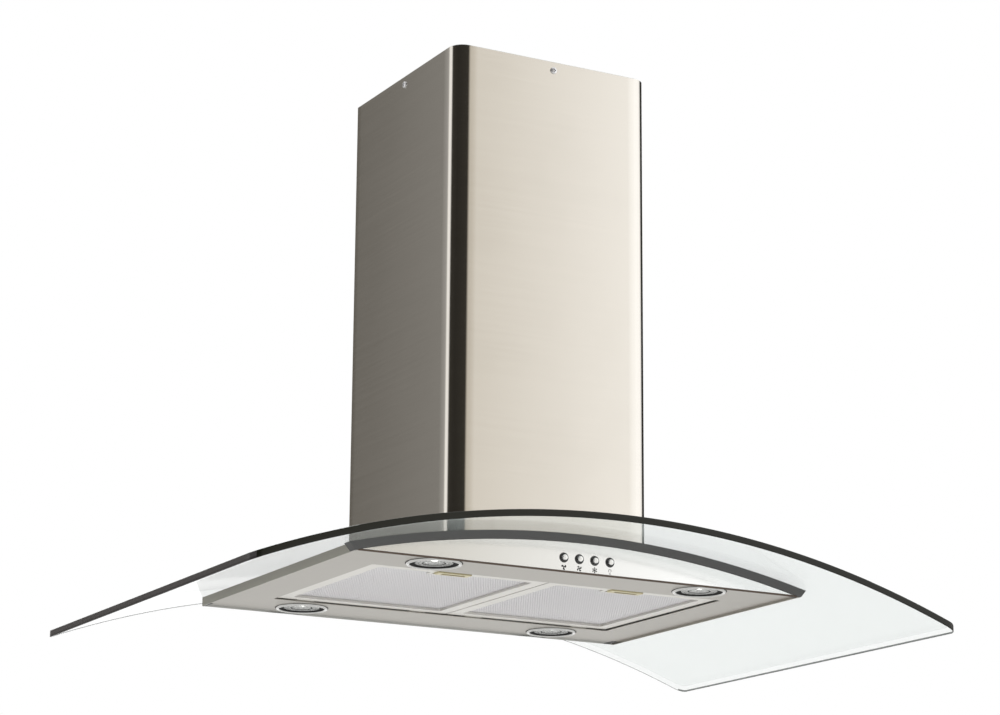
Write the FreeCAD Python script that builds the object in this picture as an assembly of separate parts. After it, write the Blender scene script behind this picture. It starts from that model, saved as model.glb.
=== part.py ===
"""Curved glass range hood for an island: ceiling frame, flue cover, blower, glass canopy and filter body.

Millimetres. +Z is up, -Y is the side with the buttons. The origin is the centre of the
ceiling plane, so every part of the hood lies below it. Body heights are counted upwards
from body_z, the lowest edge of the stainless body.
"""
import FreeCAD, Part
import math
import os
from FreeCAD import Vector

# ---------------------------------------------------------------- driving dimensions
hood_drop = 638.0            # ceiling plane to the lowest edge of the body
sheet = 1.0                  # stainless sheet of the body, blower box and flue cover
seat_gap = 0.2               # silicone film between curved faces
slide_gap = 0.15             # each side of a flat sliding face
film = 0.1                   # between pieces that rest on each other
running_gap = 0.05           # radial, a shaft or pin in its bore
overshoot = 1.0              # cutting shapes run this far past what they cut, and joined ones overlap by it

glass_width = 900.0
glass_depth = 600.0
glass_thickness = 8.0
glass_radius = 1230.0        # underside of the bend
glass_rise = 45.0            # underside's apex above the lowest edge of the body
glass_corner = 12.0          # plan corner radius
glass_edge = 1.0             # polished chamfer round the outline
glass_hole_gap = 6.0         # between the blower box and the cut-out in the glass
glass_hole_corner = 8.0

body_width = 578.0
body_depth = 422.0
body_corner = 3.0            # plan corner radius of the skirt
floor_recess = 2.5           # the floor panel lies this far above the skirt's lower edge

seal_height = 10.0
seal_depth = 14.0
seal_proud = 2.0             # the front seal stands this far in front of the fascia
seal_tip_top = 8.0           # the front seal runs past the body side, upper edge
seal_tip_bottom = 1.0        # and lower edge
rear_seal_inset = 1.0        # the rear seal ends this far inside the skirt's corners

fascia_joint = 0.2           # gap at each end of a fascia and over the edge trim
trim_height = 2.2            # dark edging under the front fascia
fascia_flange = 14.0
deck_end_height = 2.0        # height of the deck's turned-down ends
deck_margin = 5.0            # least distance of those ends from the body side
deck_hole = 176.0            # square air hole under the blower

intake_width = 460.0
intake_depth = 265.0
filter_margin = 3.0          # between a filter and the edge of the intake
filter_split = 1.5           # between the two filters
filter_recess = 1.5          # filter face above the floor panel's face
filter_thickness = 7.0
rail_width = 15.0
rail_corner = 3.0
mesh_recess = 2.8            # mesh above the filter's face
mesh_thickness = 3.4
mesh_grip = 8.0              # the mesh reaches this far into the rails
hinge_tab_width = 22.0
hinge_tab_reach = 4.5        # past the edge of the intake
hinge_tab_thickness = 1.4
hinge_tab_inset = 38.0       # tab centre from the filter's side
hinge_clearance = 0.3        # tab above the floor panel
hinge_tab_root = 1.0         # the tab starts this far inside the filter's rear rail

latch_width = 42.0
latch_depth = 12.0
latch_height = 4.6
latch_proud = 2.0            # below the filter's face
latch_bevel = 0.8
latch_travel = 6.0
latch_shift = -7.5           # latch centre from the filter's middle
latch_ear = 2.0
latch_ear_height = 1.4
latch_seat_wall = 3.0
latch_seat_start = 4.5       # seat pocket behind the filter's front face
finger_slot_width = 30.0
finger_slot_depth = 5.0
finger_slot_height = 3.4
tongue_width = 16.0
tongue_height = 1.6

lamp_inset_x = 115.0         # lamp centre from the body's side
lamp_inset_y = 38.0          # and from its front or rear
lamp_ring_radius = 31.5
lamp_eye_radius = 23.5
lamp_barrel_radius = 27.0
lamp_barrel_wall = 1.2
lamp_hole_gap = 0.5
lamp_ring_thickness = 2.4
lamp_ring_fall = 1.2         # the ring's face slopes back by this towards its rim
lamp_ledge = 2.0             # height of the inner step that carries the lens
lamp_barrel_height = 5.0
lens_thickness = 2.5
cup_height = 10.5
cup_taper = 6.0
cup_wall = 1.0
bulb_length = 12.0

button_pitch = 20.0
button_count = 4
button_height = 16.7         # above the lowest edge of the body
bezel_radius = 5.75
bezel_barrel_radius = 4.9
bezel_thickness = 1.2
cap_radius = 3.25
cap_proud = 2.6              # in front of the bezel
cap_length = 17.0
cap_bevel = 0.9
cap_travel = 2.0
switch_width = 84.0
switch_depth = 16.0
switch_block_height = 15.0

box_size = 200.0             # blower box, square in plan
box_height = 180.0           # above the deck's apex
box_flange = 8.0

fan_offset_y = 28.0          # fan axis behind the hood's centre
fan_height = 125.0           # fan axis above the lowest edge of the body
fan_radius = 58.0
fan_length = 84.0
blade_count = 30
blade_root_radius = 46.0
blade_inset = 0.4            # blade tips inside the wheel's rim
blade_thickness = 0.9
blade_camber = 2.4
blade_lead = 7.0             # degrees, the tip leads the root
fan_ring_thickness = 2.0
fan_ring_lip = 1.0           # the open ring reaches this far inside the blades
hub_radius = 12.0
hub_length = 18.0
shaft_radius = 4.0

scroll_wall = 2.0
scroll_inner_width = 90.0
scroll_first_radius = 60.0
scroll_step = 9.0            # each quarter turn of the volute grows by this
scroll_shift = 2.0
tongue_offset = 5.0          # tongue of the volute from the fan axis
scroll_flange = 6.0
inlet_radius = 44.0
inlet_ring_width = 8.0
inlet_flange = 1.5           # thickness of the inlet ring's flat rim
inlet_lip = 4.0              # height of its rounded mouth
shaft_hole_radius = 9.0

motor_radius = 42.0
motor_length = 44.0
motor_end_radius = 30.0
motor_end_step = 6.0
motor_foot_radius = 52.0
motor_foot_thickness = 2.0
shaft_tail = 3.0             # shaft past the motor's far end

collar_radius = 75.0         # outside of the duct spigot
collar_wall = 1.5
collar_height = 60.0
collar_flange = 172.0
collar_flange_thickness = 1.5
collar_ledge = 3.0
flap_height = 25.0           # flap hinge above the collar's flange
flap_pin_radius = 1.5
flap_pin_offset = 4.0
flap_thickness = 1.2
flap_edge_gap = 1.5
flap_end_gap = 1.0           # between a flap's barrel and the ledge
flap_rest_gap = 0.3          # between a closed flap and the ledge
barrel_wall = 1.4

flue_size = 266.0
flue_corner = 20.0           # rolled corners at the front
flue_rear_corner = 3.0       # folded corners at the rear
flue_top_gap = 1.0           # below the ceiling plane
flue_seam = 0.5              # butt seam down the middle of the rear face
flue_screw_drop = 10.5       # screw centre below the flue's top edge
flue_screw_radius = 2.0
flue_screw_head = 4.0
flue_screw_head_height = 2.0
screw_tail = 2.0             # thread past the sheet that it grips

ceiling_plate = 2.0
ceiling_fold = 1.5
ceiling_clearance = 0.3      # between the flue cover and the ceiling frame
ceiling_outer_fold = 25.0
ceiling_inner_fold = 32.0
ceiling_hole_radius = 4.5
ceiling_hole_pitch_x = 160.0
ceiling_hole_pitch_y = 231.0

post_leg = 20.0
post_wall = 1.5
post_start = 24.0            # post foot above the deck's apex

clamp_x = 80.0               # glass clamp bolts
clamp_y = 117.0
clamp_radius = 3.0
clamp_hole_gap = 1.5
pad_width = 20.0
clamp_washer_height = 2.5
clamp_head_height = 4.0
clamp_head_radius = 5.0
clamp_tail = 8.0             # thread past the deck's upper face

terminal_length = 90.0
terminal_width = 62.0
terminal_depth = 24.0
terminal_height = 120.0      # lower edge above the lowest edge of the body
driver_length = 96.0
driver_width = 56.0
driver_depth = 20.0
capacitor_radius = 13.0
capacitor_length = 56.0
capacitor_gap = 2.0          # beside the terminal box
case_corner = 2.0            # rounding of the moulded cases
gland_radius = 8.0
gland_dome_radius = 6.8
gland_base = 5.0
gland_bore = 4.0
gland_length = 16.0

# ---------------------------------------------------------------- levels and places
body_z = -hood_drop
arch_z = body_z + glass_rise - glass_radius              # axis of the bend, along Y
glass_top_radius = glass_radius + glass_thickness
deck_radius = glass_radius - seal_height                 # upper face of the deck
fascia_y = body_depth / 2
body_x = body_width / 2
straight_x = body_x - body_corner                        # where the skirt's corners begin
floor_z = body_z + floor_recess
floor_top = floor_z + sheet
deck_apex = body_z + glass_rise - seal_height
deck_reach = math.sqrt((deck_radius - sheet) ** 2 - (floor_top + deck_end_height - arch_z) ** 2)
deck_half = min(deck_reach, body_x - deck_margin)        # where the bent deck comes down to the floor panel
lamp_x = body_x - lamp_inset_x
lamp_y = fascia_y - lamp_inset_y

filter_width = (intake_width - 2 * filter_margin - filter_split) / 2
filter_depth = intake_depth - 2 * filter_margin
filter_z = floor_z + filter_recess
filter_front = -filter_depth / 2
filter_middle = (filter_width + filter_split) / 2

lamp_lip = floor_recess - lamp_ring_thickness            # ring's lowest face, above body_z
lens_seat = lamp_lip + lamp_ledge
cup_low = floor_recess + sheet + film
cup_top = cup_low + cup_height
bulb_radius = (cup_top - cup_wall - lens_seat - lens_thickness) / 2 - seat_gap

glass_hole = box_size + 2 * glass_hole_gap
box_half = box_size / 2
box_top = deck_apex + box_height
fan_z = body_z + fan_height
scroll_half = scroll_inner_width / 2
motor_x = scroll_half + scroll_wall
flap_z = box_top + collar_flange_thickness + flap_height
ceiling_size = flue_size - 2 * sheet - 2 * ceiling_clearance
flue_inner = flue_size / 2 - sheet
far = 2 * glass_width                                    # longer than anything in the hood

X = Vector(1, 0, 0)
Y = Vector(0, 1, 0)
Z = Vector(0, 0, 1)


# ---------------------------------------------------------------- shape helpers
def rounded_rectangle(width, depth, radius, z, centre_x=0.0, centre_y=0.0):
    """Closed wire in a level plane."""
    x, y = width / 2, depth / 2
    bend = radius * (1 - math.sqrt(0.5))
    edges = []
    for sx, sy, first_along_x in ((1, 1, False), (-1, 1, True), (-1, -1, False), (1, -1, True)):
        on_side = Vector(sx * x, sy * (y - radius), 0)
        on_end = Vector(sx * (x - radius), sy * y, 0)
        middle = Vector(sx * (x - bend), sy * (y - bend), 0)
        start, stop = (on_end, on_side) if first_along_x else (on_side, on_end)
        edges.append((start, middle, stop))
    shape = []
    for index, (start, middle, stop) in enumerate(edges):
        shape.append(Part.Arc(start, middle, stop).toShape())
        shape.append(Part.LineSegment(stop, edges[(index + 1) % 4][0]).toShape())
    wire = Part.Wire(shape)
    wire.translate(Vector(centre_x, centre_y, z))
    return wire


def rounded_prism(width, depth, radius, z_low, z_high, centre_x=0.0, centre_y=0.0):
    wire = rounded_rectangle(width, depth, radius, z_low, centre_x, centre_y)
    return Part.Face(wire).extrude(Vector(0, 0, z_high - z_low))


def rounded_tube(width, depth, radius, wall, z_low, z_high):
    outer = rounded_prism(width, depth, radius, z_low, z_high)
    inner_radius = max(radius - wall, 0.3)
    return outer.cut(rounded_prism(width - 2 * wall, depth - 2 * wall, inner_radius, z_low, z_high))


def block(x_low, x_high, y_low, y_high, z_low, z_high):
    return Part.makeBox(x_high - x_low, y_high - y_low, z_high - z_low, Vector(x_low, y_low, z_low))


def centred_block(width, depth, z_low, z_high, centre_x=0.0):
    return block(centre_x - width / 2, centre_x + width / 2, -depth / 2, depth / 2, z_low, z_high)


def square_tube(size, wall, z_low, z_high):
    inner = size - 2 * wall
    return centred_block(size, size, z_low, z_high).cut(centred_block(inner, inner, z_low, z_high))


def bar(radius, base, direction, length):
    return Part.makeCylinder(radius, length, base, direction)


def hexagon(x, y, z, flat_radius, height):
    """Hexagonal prism; flat_radius is half its width across flats."""
    reach = flat_radius / math.cos(math.pi / 6)
    points = []
    for step in range(6):
        angle = math.pi / 3 * step
        points.append(Vector(x + reach * math.cos(angle), y + reach * math.sin(angle), z))
    return polygon_prism(points, Vector(0, 0, height))


def polygon_prism(points, direction):
    """Extrude the closed polygon through the points along the direction vector."""
    return Part.Face(Part.makePolygon(points + [points[0]])).extrude(direction)


def ring(outer, inner, base, direction, length):
    return bar(outer, base, direction, length).cut(bar(inner, base, direction, length))


def turned(profile, base, axis=Z):
    """Revolve (radius, distance along the axis) points about the axis through base."""
    across = Z if axis == X else X
    points = [across * radius + axis * distance for radius, distance in profile]
    face = Part.Face(Part.makePolygon(points + [points[0]]))
    shape = face.revolve(Vector(0, 0, 0), axis, 360)
    shape.translate(base)
    return shape


def under_arch(radius):
    """Everything below the bent surface of this radius."""
    return bar(radius, Vector(0, -far / 2, arch_z), Y, far)


def arch_height(radius, x):
    return arch_z + math.sqrt(radius ** 2 - x ** 2)


def arch_strip(radius_low, radius_high, half_low, half_high, y_low, y_high):
    """Bar between two arcs about the bend's axis; its ends run from half_low to half_high."""
    low_left = Vector(-half_low, y_low, arch_height(radius_low, half_low))
    low_right = Vector(half_low, y_low, arch_height(radius_low, half_low))
    high_left = Vector(-half_high, y_low, arch_height(radius_high, half_high))
    high_right = Vector(half_high, y_low, arch_height(radius_high, half_high))
    low_top = Vector(0, y_low, arch_height(radius_low, 0))
    high_top = Vector(0, y_low, arch_height(radius_high, 0))
    wire = Part.Wire([
        Part.Arc(low_left, low_top, low_right).toShape(),
        Part.LineSegment(low_right, high_right).toShape(),
        Part.Arc(high_right, high_top, high_left).toShape(),
        Part.LineSegment(high_left, low_left).toShape()])
    return Part.Face(wire).extrude(Vector(0, y_high - y_low, 0))


def fuse_all(first, others):
    return first.multiFuse(others).removeSplitter() if others else first


def corners(half_x, half_y):
    """The four sign combinations of a point, front left first."""
    return [(sx * half_x, sy * half_y) for sy in (-1, 1) for sx in (-1, 1)]


def save(node, shape):
    shape.exportStep("parts/" + node + ".step")


# ---------------------------------------------------------------- glass canopy
def make_glass():
    low = body_z - glass_depth
    high = body_z + glass_depth
    reach = glass_width / 2 + glass_thickness
    slab = arch_strip(glass_radius, glass_top_radius, reach, reach, -glass_depth / 2, glass_depth / 2)
    glass = slab.common(rounded_prism(glass_width, glass_depth, glass_corner, low, high))
    rims = [edge for edge in glass.Edges if edge.BoundBox.XLength + edge.BoundBox.YLength > 1]
    glass = glass.makeChamfer(glass_edge, rims)
    glass = glass.cut(rounded_prism(glass_hole, glass_hole, glass_hole_corner, low, high))
    for x, y in corners(clamp_x, clamp_y):
        hole = bar(clamp_radius + clamp_hole_gap, Vector(x, y, low), Z, high - low)
        glass = glass.cut(hole)
    return glass


# ---------------------------------------------------------------- stainless body
def make_bottom_pan():
    """Floor panel with its skirt: side walls, rounded corners and set-back flanges for the fascias."""
    top = body_z + glass_rise
    skirt = rounded_tube(body_width, body_depth, body_corner, sheet, body_z, top)
    skirt = skirt.common(under_arch(glass_radius - seat_gap))
    skirt = skirt.cut(block(-straight_x, straight_x, -far, far, body_z, top))
    floor_corner = body_corner - sheet / 2
    floor = rounded_prism(body_width - sheet, body_depth - sheet, floor_corner, floor_z, floor_top)
    flange_y = fascia_y - sheet - fascia_joint
    flange_room = under_arch(deck_radius - 2 * sheet - seat_gap)
    floor = floor.common(block(-far, -straight_x, -far, far, body_z, top).fuse(
        [block(straight_x, far, -far, far, body_z, top),
         block(-far, far, -flange_y, flange_y, body_z, top)]))
    pieces = [floor]
    for side in (-1, 1):
        y_low, y_high = sorted((side * flange_y, side * (flange_y - sheet)))
        upstand = block(-straight_x, straight_x, y_low, y_high, floor_z, floor_z + seal_height)
        pieces.append(upstand.common(flange_room))
    pan = fuse_all(skirt, pieces)
    seal_back = seal_depth - seal_proud + seat_gap
    front_room = block(-far, far, -far, -fascia_y + seal_back, body_z, top)
    rear_room = block(-straight_x, straight_x, fascia_y - seal_depth - seat_gap, far, body_z, top)
    pan = pan.cut(front_room.fuse(rear_room).cut(under_arch(deck_radius - seat_gap)))
    pan = pan.cut(switch_room())
    pan = pan.cut(rounded_prism(intake_width, intake_depth, rail_corner, body_z, top))
    hole = lamp_barrel_radius + lamp_hole_gap
    for x, y in corners(lamp_x, lamp_y):
        pan = pan.cut(bar(hole, Vector(x, y, body_z), Z, glass_rise))
    return pan


def make_fascia(side, bottom):
    """Arch-topped plate with a bent flange behind its upper edge. side is -1 in front, 1 behind."""
    half = straight_x - fascia_joint
    y_low, y_high = sorted((side * fascia_y, side * (fascia_y - sheet)))
    plate = block(-half, half, y_low, y_high, bottom, body_z + glass_rise)
    plate = plate.common(under_arch(deck_radius))
    flange_half = deck_half - sheet
    y_low, y_high = sorted((side * (fascia_y - sheet), side * (fascia_y - fascia_flange)))
    flange_radius = deck_radius - sheet
    flange = arch_strip(flange_radius - sheet, flange_radius, flange_half, flange_half, y_low, y_high)
    return plate.fuse(flange).removeSplitter()


def button_places():
    first = -(button_count - 1) / 2
    return [(first + index) * button_pitch for index in range(button_count)]


def make_front_fascia():
    fascia = make_fascia(-1, body_z + trim_height + fascia_joint)
    for x in button_places():
        base = Vector(x, -fascia_y - sheet, body_z + button_height)
        fascia = fascia.cut(bar(bezel_barrel_radius + slide_gap, base, Y, 3 * sheet))
    return fascia


def make_edge_trim():
    half = straight_x - fascia_joint
    strip = block(-half, half, -fascia_y, -fascia_y + sheet, body_z, body_z + trim_height)
    return strip.common(under_arch(deck_radius))


def make_top_deck():
    """Bent sheet over the filters. Its ends turn down to the floor panel."""
    depth = fascia_y - sheet - seat_gap
    deck = arch_strip(deck_radius - sheet, deck_radius, deck_half, deck_half, -depth, depth)
    hole = rounded_prism(deck_hole, deck_hole, glass_hole_corner, body_z, deck_apex + sheet)
    ends = []
    end_top = arch_height(deck_radius - sheet / 2, deck_half)
    inner_depth = fascia_y - fascia_flange - sheet
    for side in (-1, 1):
        x_low, x_high = sorted((side * deck_half, side * (deck_half - sheet)))
        ends.append(block(x_low, x_high, -inner_depth, inner_depth, floor_top, end_top))
    deck = fuse_all(deck.cut(hole), ends)
    for x, y in corners(clamp_x, clamp_y):
        bolt_hole = bar(clamp_radius + running_gap, Vector(x, y, body_z), Z, glass_rise)
        deck = deck.cut(bolt_hole)
    return deck


def make_front_seal():
    front = -fascia_y - seal_proud
    top = glass_radius - seat_gap
    return arch_strip(deck_radius + seat_gap, top, body_x + seal_tip_bottom, body_x + seal_tip_top,
                      front, front + seal_depth)


def make_rear_seal():
    half = straight_x - rear_seal_inset
    return arch_strip(deck_radius + seat_gap, glass_radius - seat_gap, half, half,
                      fascia_y - seal_depth, fascia_y)


# ---------------------------------------------------------------- grease filters
def make_filter_frame(side):
    """Channel frame with a latch seat in its front rail and two tabs over the rear edge of the intake."""
    x = side * filter_middle
    top = filter_z + filter_thickness
    window_width = filter_width - 2 * rail_width
    window_depth = filter_depth - 2 * rail_width
    mesh_low = filter_z + mesh_recess
    mesh_high = mesh_low + mesh_thickness
    frame = rounded_prism(filter_width, filter_depth, rail_corner, filter_z, top, x)
    frame = frame.cut(rounded_prism(window_width, window_depth, rail_corner, filter_z, top, x))
    pocket_width = window_width + 2 * mesh_grip
    pocket_depth = window_depth + 2 * mesh_grip
    frame = frame.cut(centred_block(pocket_width, pocket_depth, mesh_low, mesh_high, x))
    frame = frame.fuse(latch_seat_block(side, 0.0))
    frame = frame.cut(latch_room(side))
    tabs = []
    rear = filter_depth / 2
    tab_low = floor_top + hinge_clearance
    for sign in (-1, 1):
        tab_x = x + sign * (filter_width / 2 - hinge_tab_inset)
        half = hinge_tab_width / 2
        tabs.append(block(tab_x - half, tab_x + half, rear - hinge_tab_root,
                          intake_depth / 2 + hinge_tab_reach, tab_low, tab_low + hinge_tab_thickness))
    return fuse_all(frame, tabs)


def latch_centre(side):
    return side * filter_middle + latch_shift


def latch_pocket_y():
    """Front and rear of the pocket that the latch slides in."""
    front = filter_front + latch_seat_start
    return front, front + latch_depth + latch_travel + 2 * slide_gap


def latch_seat_block(side, margin):
    """Solid block round the latch; margin grows it, for the notch in the mesh."""
    half = latch_width / 2 + latch_ear + latch_seat_wall + margin
    x = latch_centre(side)
    back = latch_pocket_y()[1] + latch_seat_wall + margin
    return block(x - half, x + half, filter_front, back, filter_z, filter_z + filter_thickness)


def latch_room(side):
    """Pocket, ear grooves and tongue slot."""
    x = latch_centre(side)
    front, back = latch_pocket_y()
    half = latch_width / 2 + slide_gap
    ear_top = filter_z + latch_height + slide_gap
    room = block(x - half, x + half, front, back, filter_z - overshoot, ear_top)
    ear_half = half + latch_ear
    ear_low = ear_top - latch_ear_height - 2 * slide_gap
    grooves = block(x - ear_half, x + ear_half, front, back, ear_low, ear_top)
    tongue_half = tongue_width / 2 + slide_gap
    slot = block(x - tongue_half, x + tongue_half, filter_front - overshoot, front + overshoot,
                 ear_top - tongue_height - 2 * slide_gap, ear_top)
    return fuse_all(room, [grooves, slot])


def make_filter_mesh(side):
    low = filter_z + mesh_recess
    width = filter_width - 2 * rail_width + 2 * mesh_grip - 2 * seat_gap
    depth = filter_depth - 2 * rail_width + 2 * mesh_grip - 2 * seat_gap
    mesh = centred_block(width, depth, low, low + mesh_thickness, side * filter_middle)
    return mesh.cut(latch_seat_block(side, seat_gap))


def make_latch(side):
    """Spring latch: finger plate, ears that keep it in its seat, and a tongue."""
    x = latch_centre(side)
    front = latch_pocket_y()[0] + slide_gap
    back = front + latch_depth
    half = latch_width / 2
    top = filter_z + latch_height
    body = block(x - half, x + half, front, back, filter_z - latch_proud, top)
    lower_edges = [edge for edge in body.Edges if edge.BoundBox.ZMax < filter_z - latch_proud + 0.01]
    body = body.makeChamfer(latch_bevel, lower_edges)
    ears = block(x - half - latch_ear, x + half + latch_ear, front, back, top - latch_ear_height, top)
    half_tongue = tongue_width / 2
    tongue = block(x - half_tongue, x + half_tongue, filter_front + slide_gap, front + overshoot,
                   top - tongue_height, top)
    latch = fuse_all(body, [ears, tongue])
    middle = (front + back) / 2
    low = filter_z - latch_proud
    slot = rounded_prism(finger_slot_width, finger_slot_depth, finger_slot_depth / 3,
                         low, low + finger_slot_height, x, middle)
    return latch.cut(slot)


# ---------------------------------------------------------------- lamps
def make_lamp_ring(x, y):
    """Chrome bezel, turned: a crowned lip against the floor panel and a barrel through it."""
    middle = (lamp_ring_radius + lamp_eye_radius) / 2
    seat = floor_recess - film / 2
    top = seat + lamp_barrel_height
    inner = lamp_barrel_radius - lamp_barrel_wall
    profile = [
        (lamp_eye_radius, lamp_lip + lamp_ring_fall / 2), (middle, lamp_lip),
        (lamp_ring_radius, lamp_lip + lamp_ring_fall), (lamp_ring_radius, seat),
        (lamp_barrel_radius, seat), (lamp_barrel_radius, top), (inner, top), (inner, lens_seat),
        (lamp_eye_radius, lens_seat)]
    return turned(profile, Vector(x, y, body_z))


def make_lamp_lens(x, y):
    """Pressed glass disc on the ring's inner step."""
    radius = lamp_barrel_radius - lamp_barrel_wall - slide_gap
    return bar(radius, Vector(x, y, body_z + lens_seat), Z, lens_thickness)


def make_lamp_cup(x, y):
    """Spun reflector housing round the bezel's barrel, above the floor panel."""
    inner = lamp_barrel_radius + lamp_hole_gap
    rim = floor_recess + lamp_barrel_height + slide_gap
    crown = inner - cup_taper
    profile = [
        (inner, cup_low), (inner + cup_wall, cup_low), (inner + cup_wall, rim), (crown, cup_top),
        (0.0, cup_top), (0.0, cup_top - cup_wall), (crown - cup_wall, cup_top - cup_wall), (inner, rim)]
    return turned(profile, Vector(x, y, body_z))


def make_lamp_bulbs():
    """Capsule bulbs lying on their sides between the lens and the top of each cup."""
    z = body_z + (lens_seat + lens_thickness + cup_top - cup_wall) / 2
    bulbs = []
    for x, y in corners(lamp_x, lamp_y):
        bulbs.append(bar(bulb_radius, Vector(x - bulb_length / 2, y, z), X, bulb_length))
    return Part.Compound(bulbs)


# ---------------------------------------------------------------- buttons
def switch_box(margin):
    """Outline of the switch block, grown by margin."""
    half = switch_width / 2 + margin
    front = -fascia_y + sheet + slide_gap
    z = body_z + button_height
    back = front + switch_depth + margin
    half_height = switch_block_height / 2 + margin
    return block(-half, half, front - margin, back, z - half_height, z + half_height)


def switch_room():
    return switch_box(slide_gap)


def make_switch_block():
    """Moulded block behind the fascia with a bore for each button."""
    front = -fascia_y + sheet + slide_gap
    z = body_z + button_height
    body = switch_box(0.0)
    for x in button_places():
        base = Vector(x, front, z)
        bore = cap_length + cap_travel - bezel_thickness - cap_proud - sheet
        body = body.cut(bar(cap_radius + running_gap, base, Y, bore))
    return body


def make_bezels():
    """Black rings whose barrels pass through the fascia into the switch block."""
    bezels = []
    for x in button_places():
        front = Vector(x, -fascia_y - bezel_thickness, body_z + button_height)
        lip = bar(bezel_radius, front, Y, bezel_thickness)
        barrel = bar(bezel_barrel_radius, front, Y, bezel_thickness + sheet)
        bore = bar(cap_radius + running_gap, front - Y * overshoot, Y, far)
        bezels.append(lip.fuse(barrel).removeSplitter().cut(bore))
    return Part.Compound(bezels)


def make_button_cap(x):
    """Chrome cap with a crowned face."""
    front = Vector(x, -fascia_y - bezel_thickness - cap_proud, body_z + button_height)
    cap = bar(cap_radius, front, Y, cap_length)
    front_edge = [edge for edge in cap.Edges if edge.BoundBox.YMax < front.y + 0.01]
    return cap.makeChamfer(cap_bevel, front_edge)


# ---------------------------------------------------------------- blower box and glass clamps
def make_blower_box():
    """Folded box that stands on the deck through the glass. An inward flange follows the bend."""
    walls = square_tube(box_size, sheet, body_z, box_top - sheet)
    walls = walls.cut(under_arch(deck_radius))
    top = centred_block(box_size, box_size, box_top - sheet, box_top)
    flange = square_tube(box_size, box_flange, body_z, deck_apex + 2 * sheet)
    flange = flange.common(under_arch(deck_radius + sheet)).cut(under_arch(deck_radius))
    box = fuse_all(walls, [top, flange])
    left, right = scroll_outlet_y()
    outlet = block(-scroll_half, scroll_half, left, right, box_top - 2 * sheet, box_top + sheet)
    return box.cut(outlet)


def bored_block(x, y, z_low, z_high):
    """Square block round a clamp bolt."""
    half = pad_width / 2
    solid = block(x - half, x + half, y - half, y + half, z_low, z_high)
    return solid.cut(bar(clamp_radius + seat_gap, Vector(x, y, z_low), Z, z_high - z_low))


def make_glass_pads():
    """Rubber blocks between the deck and the glass, cut to the bend."""
    pads = []
    for x, y in corners(clamp_x, clamp_y):
        pad = bored_block(x, y, body_z, body_z + glass_rise + seal_height)
        pad = pad.common(under_arch(glass_radius - seat_gap)).cut(under_arch(deck_radius + seat_gap / 2))
        pads.append(pad)
    return Part.Compound(pads)


def clamp_top():
    """Flat top of the saddle washers over the glass."""
    return arch_height(glass_top_radius, clamp_x - pad_width / 2) + clamp_washer_height


def make_clamp_washers():
    """Saddle washers: bent below to the glass, flat above for the bolt heads."""
    washers = []
    for x, y in corners(clamp_x, clamp_y):
        low = body_z + glass_rise
        washer = bored_block(x, y, low, clamp_top())
        washers.append(washer.cut(under_arch(glass_top_radius + seat_gap / 2)))
    return Part.Compound(washers)


def make_clamp_bolts():
    """Bolts through washer, glass and pad into the thread of the deck."""
    bolts = []
    for x, y in corners(clamp_x, clamp_y):
        low = arch_height(deck_radius, clamp_x) - clamp_tail
        shank = bar(clamp_radius, Vector(x, y, low), Z, clamp_top() - low)
        head = hexagon(x, y, clamp_top(), clamp_head_radius, clamp_head_height)
        bolts.append(shank.fuse(head).removeSplitter())
    return Part.Compound(bolts)


# ---------------------------------------------------------------- fan
def fan_point(radius, degrees, x):
    """Point of the fan at this radius and angle, seen along +X from the hood's left side."""
    angle = math.radians(degrees)
    return Vector(x, fan_offset_y + radius * math.cos(angle), fan_z + radius * math.sin(angle))


def make_blade(index):
    """One forward-curved blade: a sheet between two arcs, run the length of the wheel."""
    pitch = 360.0 / blade_count
    start = index * pitch
    x = -fan_length / 2 + fan_ring_thickness / 2
    length = fan_length - 1.5 * fan_ring_thickness
    tip_radius = fan_radius - blade_inset
    middle_radius = (blade_root_radius + tip_radius) / 2
    thick = math.degrees(blade_thickness / middle_radius)
    belly = math.degrees(blade_camber / middle_radius)
    root_a = fan_point(blade_root_radius, start, x)
    tip_a = fan_point(tip_radius, start + blade_lead, x)
    root_b = fan_point(blade_root_radius, start + thick, x)
    tip_b = fan_point(tip_radius, start + blade_lead + thick, x)
    middle_a = fan_point(middle_radius, start + blade_lead / 2 - belly, x)
    middle_b = fan_point(middle_radius, start + blade_lead / 2 - belly + thick, x)
    wire = Part.Wire([
        Part.Arc(root_a, middle_a, tip_a).toShape(),
        Part.LineSegment(tip_a, tip_b).toShape(),
        Part.Arc(tip_b, middle_b, root_b).toShape(),
        Part.LineSegment(root_b, root_a).toShape()])
    return Part.Face(wire).extrude(Vector(length, 0, 0))


def make_impeller():
    """Squirrel-cage wheel: forward-curved blades between a back plate with its hub and an open ring."""
    left = -fan_length / 2
    right = fan_length / 2
    centre_left = fan_point(0, 0, left)
    open_ring = ring(fan_radius, blade_root_radius - fan_ring_lip, centre_left, X, fan_ring_thickness)
    back_plate = bar(fan_radius, fan_point(0, 0, right - fan_ring_thickness), X, fan_ring_thickness)
    hub = bar(hub_radius, fan_point(0, 0, right - hub_length), X, hub_length)
    blades = [make_blade(index) for index in range(blade_count)]
    wheel = back_plate.multiFuse([open_ring, hub] + blades)
    return wheel.cut(bar(shaft_radius, fan_point(0, 0, -far / 2), X, far))


def scroll_outlet_y():
    """Front and rear inner faces of the volute's outlet."""
    rear = fan_offset_y + tongue_offset
    front = fan_offset_y + scroll_shift - scroll_step - (scroll_first_radius + 2 * scroll_step)
    return front, rear


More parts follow.
